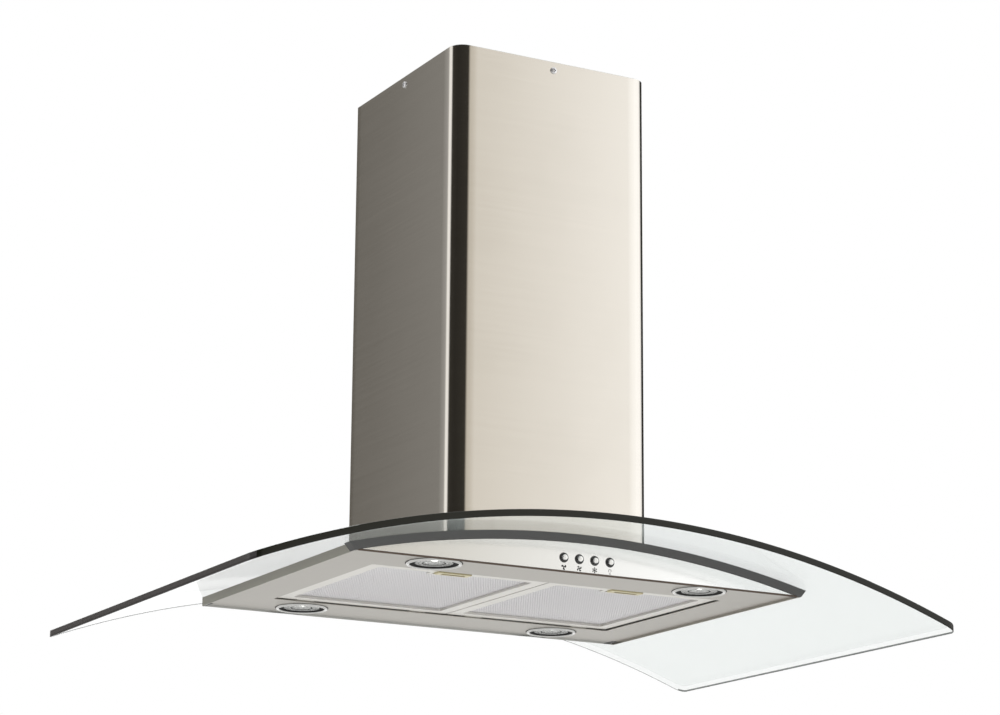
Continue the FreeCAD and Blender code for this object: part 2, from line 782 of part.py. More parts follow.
def scroll_outline(growth, x, top):
    """Volute as quarter turns of growing radius, open upwards; growth offsets it for the outer wall."""
    front, rear = scroll_outlet_y()
    front -= growth
    rear += growth
    centre = [(fan_offset_y + scroll_shift, fan_z)]
    centre.append((centre[0][0] - scroll_step, fan_z))
    centre.append((centre[1][0], fan_z + scroll_step))
    radii = [scroll_first_radius + growth + step * scroll_step for step in range(3)]
    tongue_angle = math.acos((rear - centre[0][0]) / radii[0])

    def on(quarter, angle):
        cy, cz = centre[quarter]
        return Vector(x, cy + radii[quarter] * math.cos(angle), cz + radii[quarter] * math.sin(angle))

    tongue = on(0, tongue_angle)
    right = on(0, 0.0)
    bottom = on(1, -math.pi / 2)
    left = on(2, -math.pi)
    top_left = Vector(x, front, top)
    top_right = Vector(x, rear, top)
    return Part.Face(Part.Wire([
        Part.LineSegment(top_right, tongue).toShape(),
        Part.Arc(tongue, on(0, tongue_angle / 2), right).toShape(),
        Part.Arc(right, on(1, -math.pi / 4), bottom).toShape(),
        Part.Arc(bottom, on(2, -0.75 * math.pi), left).toShape(),
        Part.LineSegment(left, top_left).toShape(),
        Part.LineSegment(top_left, top_right).toShape()]))


def make_scroll_housing():
    """Two-wall volute hung from the box's top by the flange round its mouth."""
    mouth = box_top - sheet
    outer_half = scroll_half + scroll_wall
    outer = scroll_outline(scroll_wall, -outer_half, mouth).extrude(Vector(2 * outer_half, 0, 0))
    inner = scroll_outline(0.0, -scroll_half, mouth + overshoot).extrude(Vector(2 * scroll_half, 0, 0))
    front, rear = scroll_outlet_y()
    edge = scroll_wall + scroll_flange
    flange = block(-scroll_half - edge, scroll_half + edge, front - edge, rear + edge,
                   mouth - scroll_wall, mouth)
    housing = outer.fuse(flange).cut(inner)
    eye = bar(inlet_radius, fan_point(0, 0, -outer_half - scroll_wall), X, 4 * scroll_wall)
    hole = bar(shaft_hole_radius, fan_point(0, 0, scroll_half - scroll_wall), X, 4 * scroll_wall)
    return housing.cut(eye).cut(hole)


def make_inlet_ring():
    """Bell mouth round the fan's eye: a flat rim that rises to a lip and falls away into the eye."""
    rim = inlet_radius + inlet_ring_width
    crest = inlet_radius + inlet_lip
    profile = [
        (rim, 0.0), (rim, -inlet_flange), (crest, -inlet_lip),
        (inlet_radius + inlet_lip / 4, -inlet_lip * 3 / 4), (inlet_radius, 0.0)]
    return turned(profile, fan_point(0, 0, -scroll_half - scroll_wall), X)


def make_motor():
    """Round motor with stepped end bells and a foot plate against the volute."""
    body = bar(motor_radius, fan_point(0, 0, motor_x), X, motor_length - motor_end_step)
    end = bar(motor_end_radius, fan_point(0, 0, motor_x), X, motor_length)
    foot = bar(motor_foot_radius, fan_point(0, 0, motor_x), X, motor_foot_thickness)
    motor = fuse_all(body, [end, foot])
    return motor.cut(bar(shaft_radius + running_gap, fan_point(0, 0, 0), X, far))


def make_motor_shaft():
    start = fan_length / 2 - hub_length
    length = motor_x + motor_length + shaft_tail - start
    return bar(shaft_radius, fan_point(0, 0, start), X, length)


# ---------------------------------------------------------------- duct collar and damper
def make_duct_collar():
    """Spigot for a round duct, with a ledge under the flaps and holes for their pins."""
    base = Vector(0, 0, box_top)
    flange = rounded_prism(collar_flange, collar_flange, glass_hole_corner, box_top,
                           box_top + collar_flange_thickness)
    inner = collar_radius - collar_wall
    spigot = bar(collar_radius, base, Z, collar_height)
    collar = flange.fuse(spigot).removeSplitter()
    collar = collar.cut(bar(inner, base - Z, Z, 2 * collar_height))
    ledge_top = flap_z - flap_thickness / 2 - flap_rest_gap
    ledge_base = Vector(0, 0, ledge_top - collar_wall)
    ledge = ring(inner + collar_wall / 2, inner - collar_ledge, ledge_base, Z, collar_wall)
    collar = collar.fuse(ledge).removeSplitter()
    for side in (-1, 1):
        start = Vector(side * flap_pin_offset, -far / 2, flap_z)
        collar = collar.cut(bar(flap_pin_radius, start, Y, far))
    return collar


def make_damper_pins():
    """Pins of the flaps. Their ends stay inside the spigot's round wall."""
    half = math.sqrt(collar_radius ** 2 - (flap_pin_offset + flap_pin_radius) ** 2) - seat_gap
    pins = []
    for side in (-1, 1):
        pins.append(bar(flap_pin_radius, Vector(side * flap_pin_offset, -half, flap_z), Y, 2 * half))
    return Part.Compound(pins)


def make_damper_flap(side):
    """Half-round flap on a barrel. side is -1 left, 1 right."""
    radius = collar_radius - collar_wall - flap_edge_gap
    x = side * flap_pin_offset
    low = flap_z - flap_thickness / 2
    disc = bar(radius, Vector(0, 0, low), Z, flap_thickness)
    high = low + 2 * flap_thickness
    x_low, x_high = sorted((x, side * far))
    plate = disc.common(block(x_low, x_high, -far, far, low - overshoot, high))
    half = collar_radius - collar_wall - collar_ledge - flap_end_gap
    barrel_outer = flap_pin_radius + barrel_wall
    barrel = bar(barrel_outer, Vector(x, -half, flap_z), Y, 2 * half)
    ends = block(x - 2 * barrel_outer, x + 2 * barrel_outer, half, far, low - overshoot, high)
    plate = plate.cut(ends).cut(ends.mirror(Vector(0, 0, 0), Y))
    bore = bar(flap_pin_radius + running_gap, Vector(x, -far / 2, flap_z), Y, far)
    return barrel.fuse(plate).removeSplitter().cut(bore)


# ---------------------------------------------------------------- ceiling frame, posts and flue cover
def make_ceiling_frame():
    """Folded tray: bolt plate, outer flange inside the flue cover and inner flange for the posts."""
    corner = flue_corner - sheet - ceiling_clearance
    plate = rounded_prism(ceiling_size, ceiling_size, corner, -ceiling_plate, 0)
    outer = rounded_tube(ceiling_size, ceiling_size, corner, ceiling_fold, -ceiling_outer_fold, 0)
    inner = square_tube(box_size, ceiling_fold, -ceiling_inner_fold, 0)
    frame = fuse_all(plate, [outer, inner])
    hole = box_size - 2 * ceiling_fold
    frame = frame.cut(centred_block(hole, hole, -2 * ceiling_inner_fold, ceiling_plate))
    for x, y in corners(ceiling_hole_pitch_x / 2, ceiling_hole_pitch_y / 2):
        frame = frame.cut(bar(ceiling_hole_radius, Vector(x, y, -2 * ceiling_plate), Z, 3 * ceiling_plate))
    for place, direction in flue_screw_places():
        start = place - direction * (3 * ceiling_fold)
        frame = frame.cut(bar(flue_screw_radius, start, direction, 4 * ceiling_fold))
    return frame


def make_hanger_posts():
    """Four steel angles that hug the corners of the blower box and of the frame's inner flange."""
    low = deck_apex + post_start
    height = -ceiling_plate - low
    posts = []
    for sx, sy in corners(1, 1):
        outer = box_half + post_wall
        outline = [(outer, outer), (outer - post_leg, outer), (outer - post_leg, box_half),
                   (box_half, box_half), (box_half, outer - post_leg), (outer, outer - post_leg)]
        points = [Vector(sx * x, sy * y, low) for x, y in outline]
        post = polygon_prism(points, Vector(0, 0, height))
        posts.append(post)
    return Part.Compound(posts)


def flue_screw_places():
    """Middle of the front, left and right faces of the flue cover, near its top edge."""
    z = -flue_top_gap - flue_screw_drop
    half = flue_size / 2
    return [(Vector(dx * half, dy * half, z), Vector(dx, dy, 0)) for dx, dy in ((0, -1), (-1, 0), (1, 0))]


def flue_prism(inset, z_low, z_high):
    """Outline of the flue drawn in by inset: rolled corners in front, folded corners behind."""
    size = flue_size - 2 * inset
    front = rounded_prism(size, size, flue_corner - inset, z_low, z_high)
    rear = rounded_prism(size, size / 2, flue_rear_corner - inset, z_low, z_high, 0.0, size / 4)
    return front.fuse(rear).removeSplitter()


def make_flue_cover():
    """One folded sheet, cut below to the bend of the glass."""
    low = arch_height(glass_radius, flue_size / 2)
    cover = flue_prism(0.0, low, -flue_top_gap).cut(flue_prism(sheet, low, -flue_top_gap))
    cover = cover.cut(under_arch(glass_top_radius + seat_gap))
    seam = block(-flue_seam / 2, flue_seam / 2, flue_inner - sheet, flue_size, low, 0)
    cover = cover.cut(seam)
    for place, direction in flue_screw_places():
        hole = bar(flue_screw_radius + seat_gap, place - direction * 2 * sheet, direction, 4 * sheet)
        cover = cover.cut(hole)
    return cover


def make_flue_screws():
    """Pan-head screws through the cover into the ceiling frame."""
    length = sheet + ceiling_clearance + ceiling_fold + screw_tail
    screws = []
    for place, direction in flue_screw_places():
        head = bar(flue_screw_head, place, direction, flue_screw_head_height)
        shank = bar(flue_screw_radius, place - direction * length, direction, length)
        screws.append(head.fuse(shank).removeSplitter())
    return Part.Compound(screws)


# ---------------------------------------------------------------- electrics on the blower box
def make_terminal_box():
    """Moulded box on the right wall of the blower box; its lid has rounded edges."""
    low = body_z + terminal_height
    box = block(box_half, box_half + terminal_depth, -terminal_width / 2, terminal_width / 2,
                low, low + terminal_length)
    lid = box_half + terminal_depth
    return box.makeFillet(case_corner, [edge for edge in box.Edges if edge.CenterOfMass.x > lid - film])


def make_cable_gland():
    """Gland on top of the terminal box, where the mains lead goes in."""
    top = body_z + terminal_height + terminal_length
    x = box_half + terminal_depth / 2
    base = hexagon(x, 0, top, gland_radius, gland_base)
    dome = bar(gland_dome_radius, Vector(x, 0, top), Z, gland_length)
    gland = base.fuse(dome).removeSplitter()
    return gland.cut(bar(gland_bore, Vector(x, 0, top), Z, 2 * gland_length))


def make_lamp_driver():
    """Transformer of the lamps on the left wall of the blower box."""
    low = body_z + terminal_height
    x = -box_half
    case = block(x - driver_depth, x, -driver_width / 2, driver_width / 2, low, low + driver_length)
    lid = x - driver_depth
    return case.makeFillet(case_corner, [edge for edge in case.Edges if edge.CenterOfMass.x < lid + film])


def make_capacitor():
    """Run capacitor of the motor, lying against the right wall beside the terminal box."""
    y = terminal_width / 2 + capacitor_radius + capacitor_gap
    place = Vector(box_half + capacitor_radius, y, body_z + terminal_height)
    return bar(capacitor_radius, place, Z, capacitor_length)


# ---------------------------------------------------------------- build
os.makedirs("parts", exist_ok=True)

save("glass_canopy", make_glass())
save("bottom_pan", make_bottom_pan())
save("front_fascia", make_front_fascia())
save("rear_fascia", make_fascia(1, body_z + fascia_joint))
save("front_edge_trim", make_edge_trim())
save("top_deck", make_top_deck())
save("front_seal", make_front_seal())
save("rear_seal", make_rear_seal())

for name, side in (("left", -1), ("right", 1)):
    save("filter_frame_" + name, make_filter_frame(side))
    save("filter_mesh_" + name, make_filter_mesh(side))
    save("filter_latch_" + name, make_latch(side))
    save("damper_flap_" + name, make_damper_flap(side))

lamp_names = ("front_left", "front_right", "rear_left", "rear_right")
for name, (place_x, place_y) in zip(lamp_names, corners(lamp_x, lamp_y)):
    save("lamp_ring_" + name, make_lamp_ring(place_x, place_y))
    save("lamp_lens_" + name, make_lamp_lens(place_x, place_y))
    save("lamp_cup_" + name, make_lamp_cup(place_x, place_y))
save("lamp_bulbs", make_lamp_bulbs())

save("switch_block", make_switch_block())
save("button_bezels", make_bezels())
for number, place in enumerate(button_places(), 1):
    save("button_cap_" + str(number), make_button_cap(place))

save("blower_box", make_blower_box())
save("glass_pads", make_glass_pads())
save("clamp_washers", make_clamp_washers())
save("clamp_bolts", make_clamp_bolts())

save("impeller", make_impeller())
save("scroll_housing", make_scroll_housing())
save("inlet_ring", make_inlet_ring())
save("motor", make_motor())
save("motor_shaft", make_motor_shaft())

save("duct_collar", make_duct_collar())
save("damper_pins", make_damper_pins())

save("ceiling_frame", make_ceiling_frame())
save("hanger_posts", make_hanger_posts())
save("flue_cover", make_flue_cover())
save("flue_screws", make_flue_screws())

save("terminal_box", make_terminal_box())
save("cable_gland", make_cable_gland())
save("lamp_driver", make_lamp_driver())
save("capacitor", make_capacitor())
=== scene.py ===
"""Looks of the curved glass range hood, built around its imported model.

Metres. +Z is up, -Y is the side with the buttons, and the origin lies on the ceiling above
the middle of the hood. Every new piece is a surface worked out with numpy.
"""

import bmesh
import bpy
import numpy as np
from bpy.props import FloatProperty, FloatVectorProperty, IntProperty, PointerProperty
from mathutils import Matrix, Vector


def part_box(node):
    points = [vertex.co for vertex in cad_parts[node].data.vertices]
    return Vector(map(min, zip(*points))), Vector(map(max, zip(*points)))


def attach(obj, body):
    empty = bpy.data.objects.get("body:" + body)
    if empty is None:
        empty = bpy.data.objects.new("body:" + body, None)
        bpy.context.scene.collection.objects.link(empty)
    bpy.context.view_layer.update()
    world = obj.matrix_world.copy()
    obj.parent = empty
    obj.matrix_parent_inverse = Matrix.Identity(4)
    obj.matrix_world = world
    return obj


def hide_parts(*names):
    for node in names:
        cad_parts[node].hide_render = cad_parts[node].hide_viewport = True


bl_info = {
    "name": "Curved Glass Range Hood",
    "version": (1, 0, 0),
    "blender": (4, 5, 0),
    "location": "3D View > Sidebar > Hood",
    "description": "Builds the visible surfaces and finishes of a ceiling-hung range hood",
    "category": "Add Mesh",
}

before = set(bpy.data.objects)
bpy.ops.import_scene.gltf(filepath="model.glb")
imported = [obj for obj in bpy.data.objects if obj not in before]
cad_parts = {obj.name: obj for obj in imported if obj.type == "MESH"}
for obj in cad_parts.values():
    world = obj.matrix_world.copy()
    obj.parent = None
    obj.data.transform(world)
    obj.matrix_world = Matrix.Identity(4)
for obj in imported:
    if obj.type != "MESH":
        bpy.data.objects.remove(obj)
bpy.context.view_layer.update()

LAMPS = ("front_left", "front_right", "rear_left", "rear_right")
SIDES = ("left", "right")
BUTTONS = (1, 2, 3, 4)
FAN_LEAVES = (3, 4, 6)      # leaves of the fan marks under the first three buttons
FULL_TURN = 2 * np.pi
WELD = 1e-7                 # points nearer than this are one
SENSOR_WIDTH = 36.0         # of the camera, in millimetres


# ---------------------------------------------------------------- settings
def length(name, description, default):
    return FloatProperty(name=name, description=description, default=default, unit="LENGTH",
                         precision=4)


def colour(name, description, default):
    return FloatVectorProperty(name=name, description=description, default=default,
                               subtype="COLOR", size=3)


def share(name, description, default):
    return FloatProperty(name=name, description=description, default=default, subtype="FACTOR")


def view_angle(name, description, degrees):
    return FloatProperty(name=name, description=description, default=float(np.radians(degrees)),
                         subtype="ANGLE")


class CanopySettings(bpy.types.PropertyGroup):
    """Sizes and tint of the bent glass."""
    bend_radius: length("Bend radius", "Radius of the glass's upper face", 1.238)
    thickness: length("Thickness", "Thickness of the glass", 0.008)
    corner: length("Corner", "Plan radius of the outer corners", 0.012)
    hole_half: length("Hole half width", "Half width of the square cut-out for the blower", 0.106)
    hole_corner: length("Hole corner", "Plan radius of the cut-out's corners", 0.008)
    arris: length("Arris", "Width of the polished arris round each edge", 0.001)
    tint: colour("Tint", "Colour of the clear glass", (0.955, 0.995, 0.985))
    # The edge colours are painted reflection: dark colours that stand in for the dark look that
    # refraction gives the edges of clear glass.
    edge_painted_dark: colour("Edge tint", "Colour of the polished front and rear edges", (0.014, 0.015, 0.011))
    end_painted_dark: colour("End tint", "Colour of the ground edges at the ends", (0.085, 0.080, 0.082))
    dark_share: share("Dark share", "Share of an end's height that is dark also from inside", 0.3)


class FlueSettings(bpy.types.PropertyGroup):
    """Sizes of the flue cover and its screws."""
    corner: length("Corner", "Plan radius of the flue's front corners", 0.020)
    rear_corner: length("Rear corner", "Plan radius of the flue's rear corners", 0.003)
    sheet: length("Sheet", "Thickness of the stainless sheet", 0.001)
    seam: length("Seam", "Width of the butt seam at the rear", 0.0005)
    head_radius: length("Screw head", "Radius of a screw's head", 0.004)
    head_height: length("Screw crown", "Height of a screw's head", 0.002)
    recess_width: length("Recess width", "Width of the cross recess in a screw's head", 0.0014)


class LampSettings(bpy.types.PropertyGroup):
    """Sizes of the four lamps."""
    ring_radius: length("Ring", "Outer radius of the chrome ring", 0.0315)
    cone_radius: length("Cone", "Outer radius of the cone inside the ring's lip", 0.0272)
    # Painted shade: the chrome ring is drawn near black inside the cone radius, for the dark reflection
    # in its cone, and on the thin flange round it, for the shaded gap there.
    shade_cone_radius: length("Blackened cone", "Radius inside which the ring is blackened", 0.0258)
    eye_radius: length("Eye", "Radius of the opening of the chrome ring", 0.0235)
    barrel_radius: length("Barrel", "Outer radius of the ring's barrel", 0.027)
    barrel_wall: length("Barrel wall", "Thickness of the ring's barrel", 0.0012)
    shade_rim_width: length("Gasket", "Width of the dark gasket round the ring", 0.0007)
    # Painted shade: the lens is drawn near black outside the clear radius, for the shade seen through
    # its margin, and on one thin ring, as a painted dark reflection streak.
    clear_radius: length("Clear radius", "Radius of the lens inside its blackened margin", 0.0215)
    dark_streak_radius: length("Dark groove", "Radius of the dark moulded groove on the lens", 0.0125)
    dark_streak_width: length("Groove width", "Width of the dark moulded groove on the lens", 0.0013)
    ridge_height: length("Ridge height", "Height of the pressed ridges on the lens", 0.0005)
    ridge_count: IntProperty(name="Ridges", description="Number of pressed ridges on the lens",
                             default=3)


class ButtonSettings(bpy.types.PropertyGroup):
    """Sizes of the push buttons and their marks."""
    bezel_radius: length("Bezel", "Outer radius of the black ring", 0.00575)
    cap_radius: length("Cap", "Radius of the bright cap", 0.00325)
    mark_drop: length("Mark drop", "From a button's centre down to its mark", 0.0108)
    mark_radius: length("Mark", "Radius of a mark", 0.0035)
    mark_height: length("Mark height", "Thickness of the printed mark", 0.00008)
    mark_colour: colour("Mark colour", "Colour of the printed marks", (0.02, 0.02, 0.02))


class FilterSettings(bpy.types.PropertyGroup):
    """Pattern of the expanded aluminium mesh."""
    pitch_x: length("Diamond width", "Width of one diamond of the mesh", 0.0032)
    pitch_y: length("Diamond length", "Length of one diamond of the mesh", 0.0058)
    strand: share("Strand", "Share of a diamond that its strands take up", 0.44)
    relief: length("Relief", "Depth of the mesh's pattern", 0.0010)
    colour: colour("Colour", "Colour of the aluminium mesh", (0.88, 0.86, 0.885))
    notch_side: length("Notch side", "From a latch's side to the edge of the notch", 0.0034)
    notch_back: length("Notch back", "From a latch's back to the edge of the notch", 0.0095)
    # Painted shade: the mesh has no holes, and this near-black colour in its openings stands in for the
    # shaded inside of the hood.
    opening_shade_colour: colour("Opening", "Colour in the openings of the mesh", (0.015, 0.015, 0.018))


class FinishSettings(bpy.types.PropertyGroup):
    """Colours of the metals and plastics."""
    steel: colour("Stainless", "Colour of the brushed stainless steel", (0.62, 0.60, 0.565))
    steel_roughness: share("Stainless roughness", "Roughness of the brushed steel", 0.13)
    pan: colour("Body", "Colour of the satin body and floor panel", (0.42, 0.40, 0.365))
    fascia: colour("Fascia", "Colour of the polished fascia", (0.68, 0.695, 0.70))
    zinc: colour("Galvanised", "Colour of the galvanised sheet", (0.55, 0.57, 0.59))
    brass: colour("Latch", "Colour of the passivated latches", (0.19, 0.145, 0.065))
    rubber: colour("Rubber", "Colour of the seals", (0.028, 0.025, 0.021))


class StageSettings(bpy.types.PropertyGroup):
    """Camera, floor and light."""
    place: FloatVectorProperty(name="Camera", description="Place of the camera",
                               subtype="TRANSLATION", default=(-1.5942, -2.9083, -1.2056))
    azimuth: view_angle("Azimuth", "Turn of the view from +Y", -28.765)
    elevation: view_angle("Elevation", "Height of the camera's direction", -14.657)
    roll: view_angle("Roll", "Tilt of the picture", 0.416)
    lens: FloatProperty(name="Lens", description="Focal length on a 36 mm sensor", default=101.69)
    floor_drop: length("Floor", "From the ceiling down to the floor", 2.6)
    backdrop: colour("Backdrop", "Colour behind the hood", (1.0, 1.0, 1.0))


SETTINGS = {
    "canopy": CanopySettings, "flue": FlueSettings, "lamp": LampSettings, "button": ButtonSettings,
    "filter": FilterSettings, "finish": FinishSettings, "stage": StageSettings,
}


class HoodSettings(bpy.types.PropertyGroup):
    """All settings of the hood."""
    __annotations__ = {name: PointerProperty(type=kind) for name, kind in SETTINGS.items()}


def settings():
    return bpy.context.scene.range_hood


# ---------------------------------------------------------------- surfaces
def surface(points, wrap_rows=False, wrap_columns=False):
    """A grid of points (rows, columns, 3) as vertices and the quads between neighbouring ones."""
    rows, columns = points.shape[:2]
    index = np.arange(rows * columns).reshape(rows, columns)
    if wrap_rows:
        index = np.vstack([index, index[:1]])
    if wrap_columns:
        index = np.hstack([index, index[:, :1]])
    quads = np.stack([index[:-1, :-1], index[1:, :-1], index[1:, 1:], index[:-1, 1:]], axis=-1)
    return points.reshape(-1, 3), quads.reshape(-1, 4)


def swept(sections):
    """Closed sections (steps, points, 3) carried along a path, with both ends closed.

    Each section runs out along one face and back along the other, so point j faces point
    n - 1 - j and the ends are closed by quads between them.
    """
    steps, count = sections.shape[:2]
    points, quads = surface(sections, wrap_columns=True)
    near = np.arange(count // 2 - 1)
    cap = np.stack([near, near + 1, count - 2 - near, count - 1 - near], axis=-1)
    return points, np.vstack([quads, cap, cap + (steps - 1) * count])


def turned(profile, centre, axis="Z", steps=96):
    """A closed (radius, height) profile turned about an axis through a centre.

    Point = centre + radius (cos t, sin t) across the axis + height along it.
    """
    angle = np.arange(steps)[:, None] * FULL_TURN / steps
    radius, height = np.array(profile, float).T
    across = radius * np.cos(angle)
    up = radius * np.sin(angle)
    along = np.broadcast_to(height, across.shape)
    order = {"X": (along, across, up), "Y": (up, along, across), "Z": (across, up, along)}[axis]
    return surface(np.stack(order, axis=-1) + np.array(centre), wrap_rows=True, wrap_columns=True)


def arc(centre, radius, start, stop, steps):
    """Points (x, y) = centre + radius (cos t, sin t) for t between two angles in degrees."""
    turn = np.radians(np.linspace(start, stop, steps))
    radius = np.broadcast_to(np.array(radius, float), 2)
    return np.array(centre) + radius * np.stack([np.cos(turn), np.sin(turn)], axis=-1)


def rounded_loop(half_x, half_y, radius, rear_radius, side_steps, bend_steps):
    """Plan outline of a rounded rectangle, from the middle of its rear side by way of the left.

    Quarter turns about four centres, with radius in front and rear_radius behind, are joined by
    straight sides.
    """
    signs = np.array([(-1, 1), (-1, -1), (1, -1), (1, 1)])
    radii = np.array([rear_radius, radius, radius, rear_radius])[:, None]
    centres = signs * (np.array([half_x, half_y]) - radii)
    turn = np.linspace(0, np.pi / 2, bend_steps + 1)
    angle = np.radians([90, 180, 270, 0])[:, None] + turn
    arcs = centres[:, None] + radii[:, None] * np.stack([np.cos(angle), np.sin(angle)], axis=-1)
    step = np.linspace(0, 1, side_steps, endpoint=False)[1:, None]
    following = np.roll(arcs[:, 0], -1, axis=0)[:, None]
    sides = arcs[:, -1:] * (1 - step) + following * step
    loop = np.concatenate([arcs, sides], axis=1).reshape(-1, 2)
    return np.roll(loop, side_steps // 2, axis=0)


def add_piece(name, parts, finishes, body, replaces=(), sharp=35.0, pick=None):
    """Joins surfaces into one mesh, welds it, turns its faces outwards and fastens it to a body.

    pick(centres) gives each face's finish by its number from the faces' centres.
    """
    points = np.vstack([part[0] for part in parts])
    starts = np.cumsum([0] + [len(part[0]) for part in parts[:-1]])
    quads = np.vstack([part[1] + start for part, start in zip(parts, starts)])
    mesh = bpy.data.meshes.new(name)
    mesh.from_pydata(points.tolist(), [], quads.tolist())
    work = bmesh.new()
    work.from_mesh(mesh)
    bmesh.ops.remove_doubles(work, verts=work.verts, dist=WELD)
    bmesh.ops.dissolve_degenerate(work, edges=work.edges, dist=WELD)
    bmesh.ops.recalc_face_normals(work, faces=work.faces)
    work.to_mesh(mesh)
    work.free()
    mesh.polygons.foreach_set("use_smooth", np.ones(len(mesh.polygons), bool))
    mesh.set_sharp_from_angle(angle=np.radians(sharp))
    for finish in finishes:
        mesh.materials.append(bpy.data.materials[finish])
    if pick:
        centres = np.empty(len(mesh.polygons) * 3)
        mesh.polygons.foreach_get("center", centres)
        mesh.polygons.foreach_set("material_index", pick(centres.reshape(-1, 3)).astype(np.int32))
    mesh.update()
    piece = bpy.data.objects.new(name, mesh)
    bpy.context.scene.collection.objects.link(piece)
    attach(piece, body)
    if replaces:
        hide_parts(*replaces)
    return piece


def centre_of(node):
    low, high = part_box(node)
    return np.array((low + high) / 2)


# ---------------------------------------------------------------- shader groups
GREY = (0.5, 0.5, 0.5, 1.0)     # default of a group's colours, which each material sets


def new_group(name, inputs, outputs):
    """A shader node group, the sockets that it is given and those that it makes.

    Inputs are default values by label, outputs are labels. Colours have colour in their label, and
    Stretch is a vector.
    """
    group = bpy.data.node_groups.new(name, "ShaderNodeTree")

    def add_socket(label, direction):
        kind = "Color" if "colour" in label.lower() else "Float"
        if label == "Stretch":
            kind = "Vector"
        return group.interface.new_socket(label, in_out=direction, socket_type="NodeSocket" + kind)

    for label, default in inputs.items():
        add_socket(label, "INPUT").default_value = default
    for label in outputs:
        add_socket(label, "OUTPUT")
    given = group.nodes.new("NodeGroupInput").outputs
    made = group.nodes.new("NodeGroupOutput").inputs
    return group, given, made


def feed(tree, socket, value):
    """Links an output to a socket, or sets the socket to a number, vector or colour."""
    if isinstance(value, bpy.types.NodeSocket):
        tree.links.new(value, socket)
    elif socket.type == "RGBA":
        socket.default_value = (*value, 1.0)
    else:
        socket.default_value = value


def set_sockets(tree, node, **values):
    """Feeds the sockets of a node, where an underscore in a name stands for a space."""
    for label, value in values.items():
        feed(tree, node.inputs[label.replace("_", " ")], value)


def math_node(tree, operation, first, second):
    node = tree.nodes.new("ShaderNodeMath")
    node.operation = operation
    feed(tree, node.inputs[0], first)
    feed(tree, node.inputs[1], second)
    return node.outputs[0]


def noise_node(tree, scale, detail, roughness=0.5, vector=None):
    """Noise over a vector, or over the piece's own coordinates."""
    if vector is None:
        vector = object_coordinates(tree)
    node = tree.nodes.new("ShaderNodeTexNoise")
    set_sockets(tree, node, Scale=scale, Detail=detail, Roughness=roughness, Vector=vector)
    return node.outputs["Fac"]


def object_coordinates(tree):
    return tree.nodes.new("ShaderNodeTexCoord").outputs["Object"]


def split(tree, vector):
    """X, Y and Z of a vector, by name."""
    node = tree.nodes.new("ShaderNodeSeparateXYZ")
    feed(tree, node.inputs[0], vector)
    return node.outputs


def smooth_steps(tree, value, low, high):
    """Share that goes smoothly from 0 where the value is at low to 1 where it is at high."""
    node = tree.nodes.new("ShaderNodeMapRange")
    node.interpolation_type = "SMOOTHSTEP"
    set_sockets(tree, node, From_Min=low, From_Max=high, Value=value)
    return node.outputs["Result"]


def mixed_colour(tree, mask, first, second):
    """Colour between two sockets or constants by a share."""
    node = tree.nodes.new("ShaderNodeMix")
    node.data_type = "RGBA"
    feed(tree, node.inputs["Factor"], mask)
    for label, value in (("A", first), ("B", second)):
        socket = [item for item in node.inputs if item.name == label and item.type == "RGBA"][0]
        feed(tree, socket, value)
    return [item for item in node.outputs if item.type == "RGBA"][0]


def varied(tree, colour_socket, centred, contrast):
    """A colour made lighter or darker: colour (1 + contrast centred)."""
    lift = math_node(tree, "ADD", math_node(tree, "MULTIPLY", centred, contrast), 1.0)
    scale = tree.nodes.new("ShaderNodeVectorMath")
    scale.operation = "SCALE"
    feed(tree, scale.inputs[0], colour_socket)
    feed(tree, scale.inputs["Scale"], lift)
    return scale.outputs[0]


def grain_group():
    """Brushed grain: noise drawn out along one axis, as fine scratches and broad bands.

    Stretch is how many times finer the pattern is along X, Y and Z.
    """
    group, given, made = new_group(
        "brushed_grain",
        {"Stretch": (40.0, 40.0, 4000.0), "Colour": GREY, "Contrast": 0.10, "Roughness": 0.25,
         "Roughness spread": 0.08},
        ("Colour", "Roughness", "Height"))
    stretch = group.nodes.new("ShaderNodeVectorMath")
    stretch.operation = "MULTIPLY"
    feed(group, stretch.inputs[0], object_coordinates(group))
    feed(group, stretch.inputs[1], given["Stretch"])
    scratches = noise_node(group, 1.0, 3.0, 0.6, vector=stretch.outputs[0])
    bands = noise_node(group, 0.13, 2.0, vector=stretch.outputs[0])
    mixture = math_node(group, "ADD", math_node(group, "MULTIPLY", scratches, 0.6),
                        math_node(group, "MULTIPLY", bands, 0.4))
    centred = math_node(group, "SUBTRACT", mixture, 0.5)
    spread = math_node(group, "MULTIPLY", centred, given["Roughness spread"])
    feed(group, made["Colour"], varied(group, given["Colour"], centred, given["Contrast"]))
    feed(group, made["Roughness"], math_node(group, "ADD", spread, given["Roughness"]))
    feed(group, made["Height"], mixture)
    return group


def haze_group():
    """Broad soft smudges, as wiped grease or uneven plating leaves."""
    group, given, made = new_group(
        "surface_haze",
        {"Scale": 9.0, "Amount": 0.15, "Colour": GREY, "Haze colour": (0.5, 0.48, 0.44, 1.0)},
        ("Colour", "Mask"))
    smudges = smooth_steps(group, noise_node(group, given["Scale"], 4.0), 0.42, 0.72)
    mask = math_node(group, "MULTIPLY", smudges, given["Amount"])
    feed(group, made["Colour"], mixed_colour(group, mask, given["Colour"], given["Haze colour"]))
    feed(group, made["Mask"], mask)
    return group


